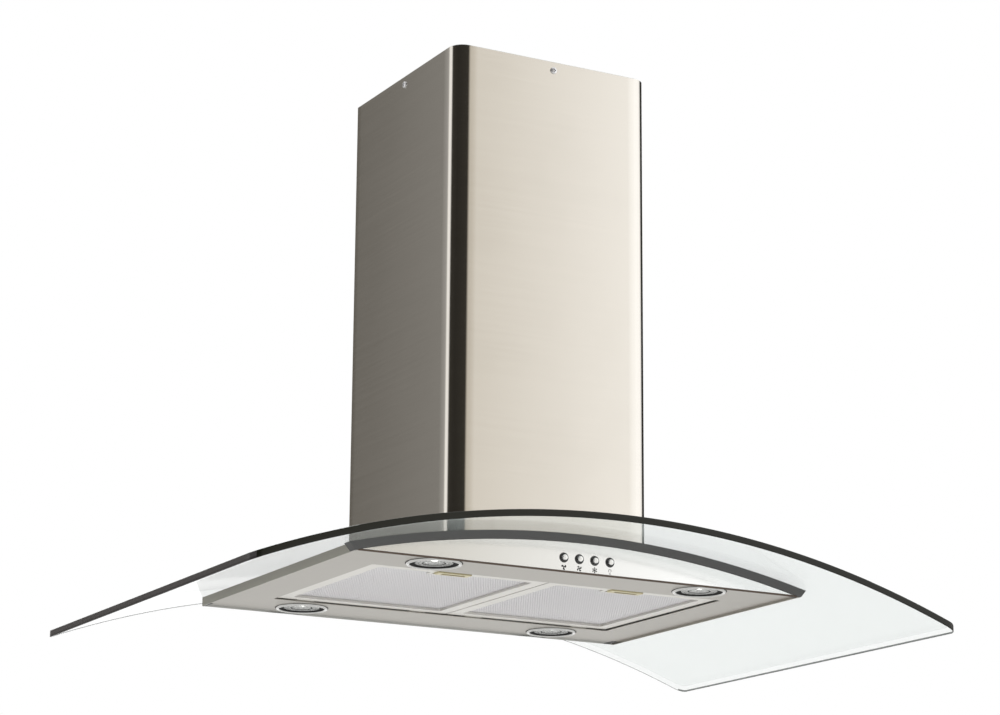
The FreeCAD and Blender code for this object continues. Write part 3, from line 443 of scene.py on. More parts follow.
def dust_group():
    """Thin dust on faces that look up, thicker where broad noise gathers it."""
    group, given, made = new_group(
        "settled_dust",
        {"Colour": GREY, "Dust colour": (0.62, 0.6, 0.56, 1.0), "Amount": 0.2},
        ("Colour", "Mask"))
    normal = group.nodes.new("ShaderNodeNewGeometry").outputs["Normal"]
    upward = math_node(group, "MAXIMUM", split(group, normal)["Z"], 0.0)
    gathered = math_node(group, "MULTIPLY", upward, noise_node(group, 30.0, 5.0, 0.6))
    mask = math_node(group, "MULTIPLY", gathered, given["Amount"])
    feed(group, made["Colour"], mixed_colour(group, mask, given["Colour"], given["Dust colour"]))
    feed(group, made["Mask"], mask)
    return group


def mould_group():
    """Fine pebble of moulded plastic or cast rubber."""
    group, given, made = new_group(
        "moulded_pebble",
        {"Scale": 1500.0, "Colour": GREY, "Contrast": 0.15, "Roughness": 0.5},
        ("Colour", "Roughness", "Height"))
    centred = math_node(group, "SUBTRACT", noise_node(group, 60.0, 2.0), 0.5)
    spread = math_node(group, "MULTIPLY", centred, given["Contrast"])
    feed(group, made["Colour"], varied(group, given["Colour"], centred, given["Contrast"]))
    feed(group, made["Roughness"], math_node(group, "ADD", spread, given["Roughness"]))
    feed(group, made["Height"], noise_node(group, given["Scale"], 3.0))
    return group


def diamond_shade_group():
    """Painted shade of the openings of expanded metal: 1 in the middle of each diamond, 0 on its
    strands.

    With u = x / width + y / length and v = x / width - y / length, the strands lie where u or v
    is whole.
    """
    softness = 0.3
    group, given, made = new_group(
        "diamond_opening_shade", {"Width": 0.0034, "Length": 0.008, "Strand": 0.5}, ("Mask",))
    place = split(group, object_coordinates(group))
    across = math_node(group, "DIVIDE", place["X"], given["Width"])
    along = math_node(group, "DIVIDE", place["Y"], given["Length"])
    rising = math_node(group, "PINGPONG", math_node(group, "ADD", across, along), 0.5)
    falling = math_node(group, "PINGPONG", math_node(group, "SUBTRACT", across, along), 0.5)
    nearest = math_node(group, "MULTIPLY", math_node(group, "MINIMUM", rising, falling), 2.0)
    open_from = math_node(group, "ADD", given["Strand"], softness)
    feed(group, made["Mask"], smooth_steps(group, nearest, given["Strand"], open_from))
    return group


GROUP_MAKERS = {"brushed_grain": grain_group, "surface_haze": haze_group, "settled_dust": dust_group,
                "moulded_pebble": mould_group, "diamond_opening_shade": diamond_shade_group}


def place_group(tree, name, **values):
    """Places a shared group in a material with the material's own values."""
    node = tree.nodes.new("ShaderNodeGroup")
    node.node_tree = bpy.data.node_groups.get(name) or GROUP_MAKERS[name]()
    set_sockets(tree, node, **values)
    return node.outputs


# ---------------------------------------------------------------- materials
HAZE_ROUGHENS = 0.3     # roughness that full haze or an opening of the mesh adds


def new_material(name, **values):
    """Tree and shader of a new material, with values for the shader's sockets."""
    material = bpy.data.materials.new(name)
    material.use_nodes = True
    shader = material.node_tree.nodes["Principled BSDF"]
    set_sockets(material.node_tree, shader, **values)
    return material.node_tree, shader


def roughened(tree, mask, roughness):
    """Roughness that grows with a mask."""
    return math_node(tree, "ADD", math_node(tree, "MULTIPLY", mask, HAZE_ROUGHENS), roughness)


def bump(tree, height, distance):
    """Normal that leans with a height."""
    node = tree.nodes.new("ShaderNodeBump")
    set_sockets(tree, node, Distance=distance, Strength=1.0, Height=height)
    return node.outputs["Normal"]


def brushed_metal(name, tint, roughness, stretch, contrast=0.10, haze=0.12,
                  haze_tint=(0.5, 0.48, 0.44)):
    """Brushed sheet: stretched grain over soft smudges."""
    tree, shader = new_material(name, Metallic=1.0)
    smudge = place_group(tree, "surface_haze", Colour=tint, Amount=haze, Haze_colour=haze_tint)
    grain = place_group(tree, "brushed_grain", Colour=smudge["Colour"], Stretch=stretch,
                        Contrast=contrast, Roughness=roughness, Roughness_spread=0.10)
    set_sockets(tree, shader, Base_Color=grain["Colour"], Roughness=grain["Roughness"],
                Normal=bump(tree, grain["Height"], 0.000002))


def plated_metal(name, tint, roughness, haze=0.2, dust=0.0):
    """Chrome, zinc or spun aluminium: even plating with a trace of haze and settled dust."""
    tree, shader = new_material(name, Metallic=1.0)
    smudge = place_group(tree, "surface_haze", Colour=tint, Amount=haze,
                         Haze_colour=(0.3, 0.3, 0.3), Scale=60.0)
    dusty = place_group(tree, "settled_dust", Colour=smudge["Colour"], Amount=dust)
    set_sockets(tree, shader, Base_Color=dusty["Colour"],
                Roughness=roughened(tree, smudge["Mask"], roughness))


def moulded(name, tint, roughness, scale=1500.0, depth=0.00003, dust=0.25, shine=0.5):
    """Plastic or rubber with a fine pebble and dust on top."""
    tree, shader = new_material(name, Specular_IOR_Level=shine)
    pebble = place_group(tree, "moulded_pebble", Colour=tint, Roughness=roughness, Scale=scale,
                         Contrast=0.15)
    dusty = place_group(tree, "settled_dust", Colour=pebble["Colour"], Amount=dust)
    set_sockets(tree, shader, Base_Color=dusty["Colour"], Roughness=pebble["Roughness"],
                Normal=bump(tree, pebble["Height"], depth))


def glowing(name, tint, strength):
    """Frosted bulb that glows evenly, with a trace of haze on it."""
    tree, shader = new_material(name, Emission_Strength=strength, Roughness=0.3)
    smudge = place_group(tree, "surface_haze", Colour=tint, Amount=0.2,
                         Haze_colour=(0.7, 0.69, 0.62), Scale=200.0)
    set_sockets(tree, shader, Base_Color=smudge["Colour"], Emission_Color=smudge["Colour"])


def expanded_metal(name, pattern):
    """Aluminium strands with a trace of grease, and diamond openings painted near black as shade,
    standing in for the shaded inside of the hood.
    """
    tree, shader = new_material(name, Metallic=0.85)
    openings = place_group(tree, "diamond_opening_shade", Width=pattern.pitch_x,
                           Length=pattern.pitch_y, Strand=pattern.strand / 2)
    weave = place_group(tree, "brushed_grain", Colour=tuple(pattern.colour),
                        Stretch=(420.0, 110.0, 50.0), Contrast=1.8)
    smudge = place_group(tree, "surface_haze", Colour=weave["Colour"], Amount=0.3, Scale=40.0,
                         Haze_colour=(0.58, 0.55, 0.55))
    # Painted shade in the openings of the mesh.
    strands = mixed_colour(tree, openings["Mask"], smudge["Colour"], tuple(pattern.opening_shade_colour))
    set_sockets(tree, shader, Base_Color=strands,
                Roughness=roughened(tree, openings["Mask"], 0.36))


def clear_glass(name, tint, roughness=0.0, wave=0.0, clearness=1.0):
    """Clear glass; the wave is a faint unevenness of its face."""
    tree, shader = new_material(name, Transmission_Weight=clearness, IOR=1.5)
    film = place_group(tree, "surface_haze", Colour=tint, Amount=0.04,
                       Haze_colour=(0.80, 0.82, 0.80), Scale=14.0)
    set_sockets(tree, shader, Base_Color=film["Colour"],
                Roughness=roughened(tree, film["Mask"], roughness))
    if wave:
        set_sockets(tree, shader, Normal=bump(tree, noise_node(tree, 20.0, 1.0), wave))


def mixed_shader(tree, share_socket, first, second, end):
    """Feeds an output node with two shaders by a share."""
    mix = tree.nodes.new("ShaderNodeMixShader")
    for socket, value in zip(mix.inputs, (share_socket, first.outputs[0], second.outputs[0])):
        feed(tree, socket, value)
    feed(tree, end.inputs["Surface"], mix.outputs[0])


def see_through_from_behind(tree, shader):
    """Lets light pass where a face is met from inside the piece."""
    geometry = tree.nodes.new("ShaderNodeNewGeometry")
    clear = tree.nodes.new("ShaderNodeBsdfTransparent")
    mixed_shader(tree, geometry.outputs["Backfacing"], shader, clear, tree.nodes["Material Output"])


def polished_edge(name, tint, clear_inside):
    """Ground and polished edge of thick glass with a fine grind along it, painted dark as reflection:
    from outside it stands in for the dark look that refraction gives a glass edge.
    """
    tree, shader = new_material(name, Specular_IOR_Level=0.25)
    grind = place_group(tree, "brushed_grain", Colour=tint, Stretch=(60.0, 60.0, 2500.0),
                        Contrast=0.5, Roughness=0.22, Roughness_spread=0.2)
    set_sockets(tree, shader, Base_Color=grind["Colour"], Roughness=grind["Roughness"])
    if clear_inside:
        see_through_from_behind(tree, shader)


def make_steels(finish):
    """Sheets: grain level on upright faces and along X on flat ones, or none where galvanised."""
    level_grain = (14.0, 14.0, 2200.0)
    brushed_metal("flue_steel", tuple(finish.steel), finish.steel_roughness, level_grain)
    brushed_metal("fascia_steel", tuple(finish.fascia), finish.steel_roughness, level_grain,
                  contrast=0.05, haze=0.06, haze_tint=(0.72, 0.72, 0.71))
    brushed_metal("pan_steel", tuple(finish.pan), 0.34, (14.0, 2200.0, 2200.0), haze=0.10,
                  haze_tint=(0.27, 0.26, 0.24))
    brushed_metal("galvanised", tuple(finish.zinc), 0.42, (90.0, 90.0, 90.0), contrast=0.45,
                  haze=0.3, haze_tint=(0.42, 0.43, 0.45))
    brushed_metal("filter_rail", (0.72, 0.705, 0.67), 0.34, (30.0, 1800.0, 1800.0), contrast=0.06)
    brushed_metal("latch_brass", tuple(finish.brass), 0.36, (60.0, 1500.0, 1500.0), contrast=0.2,
                  haze_tint=(0.25, 0.20, 0.09))


def make_bright_finishes():
    """Plated, spun and glowing finishes."""
    plated_metal("zinc_steel", (0.50, 0.50, 0.50), 0.26, dust=0.10)
    plated_metal("button_satin", (0.92, 0.92, 0.91), 0.42, haze=0.06)
    plated_metal("lamp_chrome", (0.62, 0.62, 0.61), 0.12, haze=0.12)
    plated_metal("reflector", (0.86, 0.86, 0.85), 0.10, haze=0.10)
    glowing("lamp_bulb", (0.9, 0.9, 0.86), 6.0)


def make_glasses(canopy):
    """Clear faces, and the edges of the canopy, painted dark as reflection. An arris hides what lies
    behind it.
    """
    clear_glass("canopy_glass", tuple(canopy.tint))
    polished_edge("canopy_edge", tuple(canopy.edge_painted_dark), True)
    polished_edge("canopy_arris", tuple(canopy.edge_painted_dark), False)
    polished_edge("canopy_end_edge", tuple(canopy.end_painted_dark), True)
    polished_edge("canopy_end_arris", tuple(0.6 * np.array(canopy.end_painted_dark)), False)
    clear_glass("lamp_glass", (0.96, 0.97, 0.96), 0.03, wave=0.0001, clearness=0.15)


def make_plastics(rubber, ink):
    """Rubber, plastics, enamel and print, and two near-black finishes that are painted shade and painted
    dark reflection.
    """
    moulded("seal_rubber", tuple(rubber), 0.62, scale=900.0, dust=0.1, shine=0.12)
    # Painted shade: the near-black trim along the fascia's lower edge stands in for the shaded gap under
    # that edge.
    moulded("dark_edging", (0.006, 0.005, 0.004), 0.7, dust=0.1, shine=0.1)
    moulded("black_plastic", (0.012, 0.012, 0.012), 0.26, depth=0.00001)
    moulded("grey_plastic", (0.20, 0.21, 0.22), 0.48)
    moulded("white_plastic", (0.74, 0.74, 0.71), 0.42)
    moulded("motor_enamel", (0.035, 0.040, 0.048), 0.34, scale=500.0)
    moulded("printed_ink", tuple(ink), 0.7, dust=0.0, shine=0.1)
    # Painted shade and painted dark reflection: this near-black finish goes on the lamp rings' inner
    # cones and flanges, the lenses' margins and a thin ring on each lens.
    moulded("lamp_painted_shade", (0.010, 0.010, 0.010), 0.7, dust=0.0, shine=0.1)


NODE_FINISH = {
    "bottom_pan": "pan_steel", "front_fascia": "fascia_steel", "rear_fascia": "fascia_steel",
    "top_deck": "galvanised", "front_edge_trim": "dark_edging", "front_seal": "seal_rubber",
    "rear_seal": "seal_rubber", "glass_pads": "seal_rubber", "damper_flap_left": "grey_plastic",
    "damper_flap_right": "grey_plastic", "duct_collar": "grey_plastic", "damper_pins": "zinc_steel",
    "switch_block": "black_plastic", "blower_box": "galvanised", "clamp_washers": "zinc_steel",
    "clamp_bolts": "zinc_steel", "impeller": "galvanised", "scroll_housing": "grey_plastic",
    "inlet_ring": "grey_plastic", "motor": "motor_enamel", "motor_shaft": "zinc_steel",
    "ceiling_frame": "galvanised", "hanger_posts": "galvanised", "terminal_box": "black_plastic",
    "cable_gland": "black_plastic", "lamp_driver": "white_plastic", "capacitor": "white_plastic",
    "filter_frame_left": "filter_rail", "filter_frame_right": "filter_rail",
    "filter_latch_left": "latch_brass", "filter_latch_right": "latch_brass",
}


# ---------------------------------------------------------------- pieces
class HOOD_OT_finishes(bpy.types.Operator):
    """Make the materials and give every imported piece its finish"""
    bl_idname = "hood.finishes"
    bl_label = "Finishes"

    def execute(self, context):
        hood = settings()
        make_steels(hood.finish)
        make_bright_finishes()
        expanded_metal("filter_mesh", hood.filter)
        make_glasses(hood.canopy)
        make_plastics(hood.finish.rubber, hood.button.mark_colour)
        for node, finish in NODE_FINISH.items():
            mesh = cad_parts[node].data
            mesh.materials.clear()
            mesh.materials.append(bpy.data.materials[finish])
        return {"FINISHED"}


def bend_height(canopy, x, above_low):
    """Height of the bent glass at x; above_low is the distance from its under face.

    Height = centre + sqrt(r^2 - x^2), with r between the radii of the two faces.
    """
    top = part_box("glass_canopy")[1].z
    radius = canopy.bend_radius - canopy.thickness + above_low
    return top - canopy.bend_radius + np.sqrt(radius ** 2 - x ** 2)


def canopy_section(canopy, cross_steps=44, arris_steps=4, edge_steps=4):
    """Closed section of the glass as (share across, inset, height).

    It runs along the under face, the outer edge, the upper face and the inner edge. Each edge is
    upright between two arrises, which are quarter circles of the arris width.
    """
    arris = canopy.arris
    thick = canopy.thickness
    across = np.linspace(0, 1, cross_steps)
    turn = np.linspace(0, np.pi / 2, arris_steps)[1:]
    inset = arris * (1 - np.sin(turn))
    rise = arris * (1 - np.cos(turn))
    low = np.stack([across, np.full(cross_steps, arris), np.zeros(cross_steps)], axis=-1)
    outer_low = np.stack([np.ones(len(turn)), inset, rise], axis=-1)
    between = np.linspace(arris, thick - arris, edge_steps + 1)[1:-1]
    upright = np.stack([np.ones(len(between)), np.zeros(len(between)), between], axis=-1)
    outer = np.vstack([outer_low, upright, outer_low[::-1] * (1, 1, -1) + (0, 0, thick)])
    high = low[::-1] + (0, 0, thick)
    inner = outer[::-1] * (0, 1, 1)
    return np.vstack([low, outer, high, inner])


class HOOD_OT_canopy(bpy.types.Operator):
    """Bend the glass canopy, with polished edges and its cut-out for the blower"""
    bl_idname = "hood.canopy"
    bl_label = "Glass canopy"

    def execute(self, context):
        canopy = settings().canopy
        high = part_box("glass_canopy")[1]
        share_across, inset, height = canopy_section(canopy).T
        widest = float(inset.max())
        skin = widest / 20      # a face this near to an upper or under face belongs to it

        def loop(half_x, half_y, radius, change):
            bend = radius + change
            return rounded_loop(half_x + change, half_y + change, bend, bend, 64, 10)

        outline = [loop(high.x, high.y, canopy.corner, -step) for step in inset]
        opening = [loop(canopy.hole_half, canopy.hole_half, canopy.hole_corner, step)
                   for step in inset]
        outer = np.stack(outline, axis=1)
        inner = np.stack(opening, axis=1)
        plan = inner + (outer - inner) * share_across[:, None]
        z = bend_height(canopy, plan[..., 0], height)
        points = np.concatenate([plan, z[..., None]], axis=-1)
        hole = canopy.hole_half + widest

        def pick(centres):
            """0 on clear faces, 1 or 2 low or high on front and rear edges, 3 or 4 at the ends."""
            x, y, z = centres.T
            from_low = z - bend_height(canopy, x, 0.0)
            face = (from_low < skin) | (from_low > canopy.thickness - skin)
            outside = (np.abs(x) > hole) | (np.abs(y) > hole)
            end = np.abs(x) > high.x - canopy.corner / 2
            upright = from_low > np.where(end, canopy.dark_share * canopy.thickness, canopy.arris)
            return np.where(face & outside, 0, 1 + upright + 2 * end)

        names = ("glass", "arris", "edge", "end_arris", "end_edge")
        add_piece("canopy", [surface(points, wrap_rows=True, wrap_columns=True)],
                  ["canopy_" + name for name in names], "hood", ["glass_canopy"],
                  sharp=50.0, pick=pick)
        return {"FINISHED"}


class HOOD_OT_flue(bpy.types.Operator):
    """Fold the flue cover with its rounded corners and rear seam"""
    bl_idname = "hood.flue"
    bl_label = "Flue cover"

    def execute(self, context):
        flue = settings().flue
        canopy = settings().canopy
        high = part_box("flue_cover")[1]
        foot_gap = 0.0002
        rises = np.linspace(0, 1, 9)

        def wall(inset):
            """Upright wall over a rounded square, from the glass's bend up to the top edge."""
            plan = rounded_loop(high.x - inset, high.y - inset, flue.corner - inset,
                                flue.rear_corner - inset, 24, 16)
            plan = np.vstack([plan, plan[:1]])
            plan[0, 0] = -flue.seam / 2
            plan[-1, 0] = flue.seam / 2
            foot = bend_height(canopy, plan[:, 0], canopy.thickness) + foot_gap
            z = foot[:, None] + (high.z - foot)[:, None] * rises
            flat = np.broadcast_to(plan[:, None], (len(plan), len(rises), 2))
            return np.concatenate([flat, z[..., None]], axis=-1)

        sections = np.concatenate([wall(0.0), wall(flue.sheet)[:, ::-1]], axis=1)
        add_piece("flue", [swept(sections)], ["flue_steel"], "hood", ["flue_cover"])
        return {"FINISHED"}


def screw_head(place, outward, flue, rings=10, steps=72):
    """Pan head with a cross recess.

    Height = crown sqrt(1 - (0.8 s)^2) at share s of the radius. The recess is sunk where one of u
    and v is under half its width and the other under its arm.
    """
    bulge = 0.8
    arm = flue.head_radius * 0.55
    recess_depth = flue.head_height * 0.6
    radius = np.linspace(0, 1, rings)[:, None] * flue.head_radius
    angle = np.arange(steps) * FULL_TURN / steps
    u = radius * np.cos(angle)
    v = radius * np.sin(angle)
    crown = flue.head_height * np.sqrt(1 - (bulge * radius / flue.head_radius) ** 2)
    crown = np.broadcast_to(crown, u.shape)
    half = flue.recess_width / 2
    cross = ((np.abs(u) < half) & (np.abs(v) < arm)) | ((np.abs(v) < half) & (np.abs(u) < arm))
    height = crown - np.where(cross, recess_depth, 0.0)
    rim = np.stack([u[-1], v[-1], np.zeros(steps)], axis=-1)[None]
    back = np.zeros((1, steps, 3))
    grid = np.concatenate([np.stack([u, v, height], axis=-1), rim, back])
    up = np.array((0, 0, 1.0))
    out = np.array(outward, float)
    head = grid[..., :1] * np.cross(up, out) + grid[..., 1:2] * up + grid[..., 2:] * out
    return surface(head + np.array(place), wrap_columns=True)


class HOOD_OT_flue_screws(bpy.types.Operator):
    """Turn the cross-recess screws near the flue's top edge"""
    bl_idname = "hood.flue_screws"
    bl_label = "Flue screws"

    def execute(self, context):
        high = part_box("flue_cover")[1]
        z = centre_of("flue_screws")[2]
        heads = [screw_head((side_x * high.x, side_y * high.y, z), (side_x, side_y, 0), settings().flue)
                 for side_x, side_y in ((0, -1), (-1, 0), (1, 0))]
        add_piece("flue_screw_heads", heads, ["zinc_steel"], "hood", ["flue_screws"])
        return {"FINISHED"}


def ring_profile(lamp, low, seat, top):
    """Closed (radius, height) section of the chrome ring with a thin flange at its foot.

    The lip is most of half an ellipse, from the flange to the cone. The cone leads from it up to
    the eye, and above the seat the section goes on as the barrel. The flange and the cone inside
    the lip take a near-black finish: painted shade for the gap round the ring, painted dark
    reflection in the cone.
    """
    shade_rim_depth = 0.0003
    ledge_rise = 0.0020
    eye_edge = 0.0002
    ledge = low + ledge_rise
    middle = (lamp.ring_radius + lamp.cone_radius) / 2
    lip = arc((middle, seat), (lamp.ring_radius - middle, seat - low), 0, -150, 17)
    rim = lamp.ring_radius + lamp.shade_rim_width
    shade_rim = [(rim, seat), (rim, seat - shade_rim_depth), (lamp.ring_radius, seat - shade_rim_depth)]
    inner = lamp.barrel_radius - lamp.barrel_wall
    barrel = [(lamp.eye_radius, ledge - eye_edge), (lamp.eye_radius, ledge), (inner, ledge),
              (inner, top), (lamp.barrel_radius, top), (lamp.barrel_radius, seat)]
    return np.vstack([shade_rim, lip[1:], barrel])


def lens_profile(lamp, low, high):
    """Closed section of the lens: flat above, with pressed ridges below.

    Lower face = low + height (1 - cos(ridges turns)) / 2 from the middle out to the eye.
    """
    lens_gap = 0.00015
    radius = lamp.barrel_radius - lamp.barrel_wall - lens_gap
    across = np.linspace(radius, 0, 49)
    inside = np.minimum(across / lamp.eye_radius, 1.0)
    ridge = lamp.ridge_height * (1 - np.cos(FULL_TURN * lamp.ridge_count * inside)) / 2
    lower = np.stack([across, low + ridge], axis=-1)
    return np.vstack([lower, [(0.0, high), (radius, high)]])


def cup_profile(low, high, outer, wall=0.001):
    """Closed section of the spun reflector.

    Both faces are quarter ellipses: radius = widest sqrt(1 - s^2) at share s of the height.
    """
    rise = np.linspace(0, 1, 17)
    inside, outside = [np.stack([widest * np.sqrt(1 - rise ** 2), low + depth * rise], axis=-1)
                       for widest, depth in ((outer - wall, high - low - wall), (outer, high - low))]
    return np.vstack([inside, outside[::-1]])


def capsule(centre, radius, half_length):
    """Bulb along X: a straight tube with half a ball at each end."""
    left = arc((0, -half_length + radius), radius, -90, 0, 9)
    right = arc((0, half_length - radius), radius, 0, 90, 9)
    return turned(np.vstack([left, right]), centre, "X", 32)


class HOOD_OT_lamps(bpy.types.Operator):
    """Turn the chrome lamp rings, pressed lenses, reflectors and bulbs"""
    bl_idname = "hood.lamps"
    bl_label = "Lamps"

    def execute(self, context):
        lamp = settings().lamp
        seat_rise = 0.00245     # the recessed floor panel, less a film
        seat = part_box("bottom_pan")[0].z + seat_rise
        bulb_low, bulb_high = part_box("lamp_bulbs")
        bulb_radius = (bulb_high.z - bulb_low.z) / 2
        bulb_half_length = 0.006
        bulbs = []
        for name in LAMPS:
            low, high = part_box("lamp_ring_" + name)
            x, y, _ = centre_of("lamp_ring_" + name)

            # Near-black faces: painted dark reflection inside the cone and painted shade on the flange
            # round the ring.
            def painted_shade_ring(centres):
                radius = np.hypot(centres[:, 0] - x, centres[:, 1] - y)
                return (radius < lamp.shade_cone_radius) | (radius > lamp.ring_radius)

            # Near-black faces: painted shade at the lens's margin and a painted dark reflection streak
            # on a thin ring.
            def painted_shade_lens(centres):
                radius = np.hypot(centres[:, 0] - x, centres[:, 1] - y)
                painted_streak = np.abs(radius - lamp.dark_streak_radius) < lamp.dark_streak_width / 2
                return (radius > lamp.clear_radius) | painted_streak

            ring = turned(ring_profile(lamp, low.z, seat, high.z), (x, y, 0))
            add_piece("ring_" + name, [ring], ["lamp_chrome", "lamp_painted_shade"], "hood",
                      ["lamp_ring_" + name], pick=painted_shade_ring)
            low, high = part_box("lamp_lens_" + name)
            lens = turned(lens_profile(lamp, low.z, high.z), (x, y, 0))
            add_piece("lens_" + name, [lens], ["lamp_glass", "lamp_painted_shade"], "hood",
                      ["lamp_lens_" + name], pick=painted_shade_lens)
            low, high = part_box("lamp_cup_" + name)
            cup = turned(cup_profile(low.z, high.z, high.x - x), (x, y, 0))
            add_piece("cup_" + name, [cup], ["reflector"], "hood", ["lamp_cup_" + name])
            middle = (x, y, (bulb_low.z + bulb_high.z) / 2)
            bulbs.append(capsule(middle, bulb_radius, bulb_half_length))
        add_piece("bulbs", bulbs, ["lamp_bulb"], "hood", ["lamp_bulbs"])
        return {"FINISHED"}


def button_centre(number):
    """X, foremost Y and Z of a button's cap."""
    low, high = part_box("button_cap_" + str(number))
    return (low.x + high.x) / 2, low.y, (low.z + high.z) / 2


class HOOD_OT_buttons(bpy.types.Operator):
    """Turn the bright button caps and their black rings"""
    bl_idname = "hood.buttons"
    bl_label = "Buttons"

    def execute(self, context):
        button = settings().button
        edge = 0.0009
        dimple_radius = 0.0007
        dimple_floor = 0.0004
        dimple_depth = 0.0003
        cap_gap = 0.00005
        barrel_radius = 0.0049
        ring_low, ring_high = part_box("button_bezels")
        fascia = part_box("front_fascia")[0].y
        dimple = [(0.0, dimple_depth), (dimple_floor, dimple_depth), (dimple_radius, 0.0)]
        face = arc((button.cap_radius - edge, edge), edge, -90, 0, 7)
        inner = button.cap_radius + cap_gap
        middle = (button.bezel_radius + inner) / 2
        lip = arc((middle, fascia), (button.bezel_radius - middle, fascia - ring_low.y), 0, -180, 15)
        barrel = [(inner, ring_high.y), (barrel_radius, ring_high.y), (barrel_radius, fascia)]
        bezel = np.vstack([lip, barrel])
        bezels = []
        for number in BUTTONS:
            node = "button_cap_" + str(number)
            x, front, z = button_centre(number)
            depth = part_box(node)[1].y - front
            cap = np.vstack([dimple, face, [(button.cap_radius, depth), (0.0, depth)]])
            add_piece("cap_" + str(number), [turned(cap, (x, front, z), "Y", 48)], ["button_satin"],
                      "button_" + str(number), [node])
            bezels.append(turned(bezel, (x, 0, z), "Y", 64))
        add_piece("bezels", bezels, ["black_plastic"], "hood", ["button_bezels"])
        return {"FINISHED"}


def printed(plan, front, height):
    """A flat patch (rows, columns, 2) of x and z as a thin closed shell in front of the fascia."""
    film = 0.00001      # between the print and the fascia
    rows, columns = plan.shape[:2]
    near = np.stack([plan[..., 0], np.full((rows, columns), front - height), plan[..., 1]], axis=-1)
    far_side = near + (0, height - film, 0)
    sections = np.concatenate([near, far_side[:, ::-1]], axis=1)
    return swept(sections)


def ring_patch(centre, inner, outer, start, stop):
    """Patch between two radii and two angles in degrees."""
    return np.stack([centre + arc((0, 0), radius, start, stop, 25) for radius in (inner, outer)], axis=1)


def leaf_patch(centre, radius, angle, width):
    """One leaf of a fan mark, a grid from the hub out.

    At share s of the radius its middle line turns by lean s, and it reaches to both sides by the
    angle width sin(pi s^1.5).
    """
    hub_share = 0.3
    lean = 0.7
    along = np.linspace(hub_share, 1, 9)[:, None]
    across = np.linspace(-1, 1, 5)
    turn_to = angle + lean * along + across * width * np.sin(np.pi * along ** 1.5)
    reach = radius * along
    return np.stack([centre[0] + reach * np.cos(turn_to), centre[1] + reach * np.sin(turn_to)], axis=-1)


def fan_mark(centre, leaves, button, front):
    """Fan seen from the front: its leaves, and a hub printed twice as thick."""
    size = button.mark_radius
    leaf_angle = 1.9 / leaves
    hub_hole = 0.05 * size
    hub_radius = 0.28 * size
    parts = []
    for leaf in range(leaves):
        patch = leaf_patch(centre, size, leaf * FULL_TURN / leaves, leaf_angle)
        parts.append(printed(patch, front, button.mark_height))
    hub = ring_patch(centre, hub_hole, hub_radius, 0, 360)
    return parts + [printed(hub, front, 2 * button.mark_height)]


def lamp_mark(centre, button, front):
    """Lamp: an open ring over two bars. All sizes are shares of the mark's radius."""
    size = button.mark_radius
    globe = 0.55
    globe_line = 0.25 * globe
    globe_rise = 0.3
    bar_half = 0.3
    bar_line = 0.14
    centre = centre + np.array([0.0, globe_rise]) * size
    patches = [ring_patch(centre, (globe - globe_line) * size, globe * size, -60, 240)]
    for drop in (0.75, 1.05):
        bar_x = centre[0] + np.array([-bar_half, bar_half]) * size
        bar_z = centre[1] - (drop + np.array([0.0, bar_line])) * size
        patches.append(np.stack(np.meshgrid(bar_x, bar_z, indexing="ij"), axis=-1))
    return [printed(patch, front, button.mark_height) for patch in patches]


class HOOD_OT_marks(bpy.types.Operator):
    """Print the fan marks and the lamp mark under the buttons"""
    bl_idname = "hood.marks"
    bl_label = "Button marks"

    def execute(self, context):
        button = settings().button
        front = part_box("front_fascia")[0].y
        places = []
        for number in BUTTONS:
            x, _, z = button_centre(number)
            places.append(np.array([x, z - button.mark_drop]))
        parts = []
        for centre, leaves in zip(places, FAN_LEAVES):
            parts += fan_mark(centre, leaves, button, front)
        parts += lamp_mark(places[-1], button, front)
        add_piece("button_marks", parts, ["printed_ink"], "hood")
        return {"FINISHED"}


def mesh_sheet(low, high, notch_x, notch_y, pattern):
    """Expanded aluminium slab over a rectangle, with a notch round the latch.

    With u = x / width + y / length and v = x / width - y / length, d is twice the distance to the
    nearest whole u or v: 0 on a strand and 1 in the middle of an opening. Both faces sink by
    relief smoothstep((d - strand / 2) / (1 - strand)).
    """
    steps_per_diamond = 4
    x_steps = int(round((high.x - low.x) / pattern.pitch_x * steps_per_diamond))
    y_steps = int(round((high.y - low.y) / pattern.pitch_y * steps_per_diamond))
    x = np.linspace(low.x, high.x, x_steps + 1)[:, None]
    y = np.linspace(low.y, high.y, y_steps + 1)[None, :]
    x, y = np.broadcast_arrays(x, y)
    u = x / pattern.pitch_x + y / pattern.pitch_y
    v = x / pattern.pitch_x - y / pattern.pitch_y
    nearest = 2 * np.minimum(np.abs(u - np.round(u)), np.abs(v - np.round(v)))
    step = np.clip((nearest - pattern.strand / 2) / (1 - pattern.strand), 0, 1)
    sunk = pattern.relief * step * step * (3 - 2 * step)
    inside = (x > notch_x[0]) & (x < notch_x[1]) & (y < notch_y)
    y = np.where(inside, notch_y, y)
    lower = np.stack([x, y, low.z + sunk], axis=-1)
    upper = np.stack([x, y, high.z - sunk], axis=-1)
    return swept(np.concatenate([lower, upper[:, ::-1]], axis=1))


class HOOD_OT_filters(bpy.types.Operator):
    """Press the expanded mesh of the two grease filters"""
    bl_idname = "hood.filters"
    bl_label = "Filter mesh"

    def execute(self, context):
        pattern = settings().filter
        for side in SIDES:
            low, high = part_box("filter_mesh_" + side)
            latch_low, latch_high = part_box("filter_latch_" + side)
            notch_x = (latch_low.x - pattern.notch_side, latch_high.x + pattern.notch_side)
            notch_y = latch_high.y + pattern.notch_back
            add_piece("mesh_" + side, [mesh_sheet(low, high, notch_x, notch_y, pattern)],
                      ["filter_mesh"], "filter_" + side, ["filter_mesh_" + side],
                      sharp=70.0)
        return {"FINISHED"}


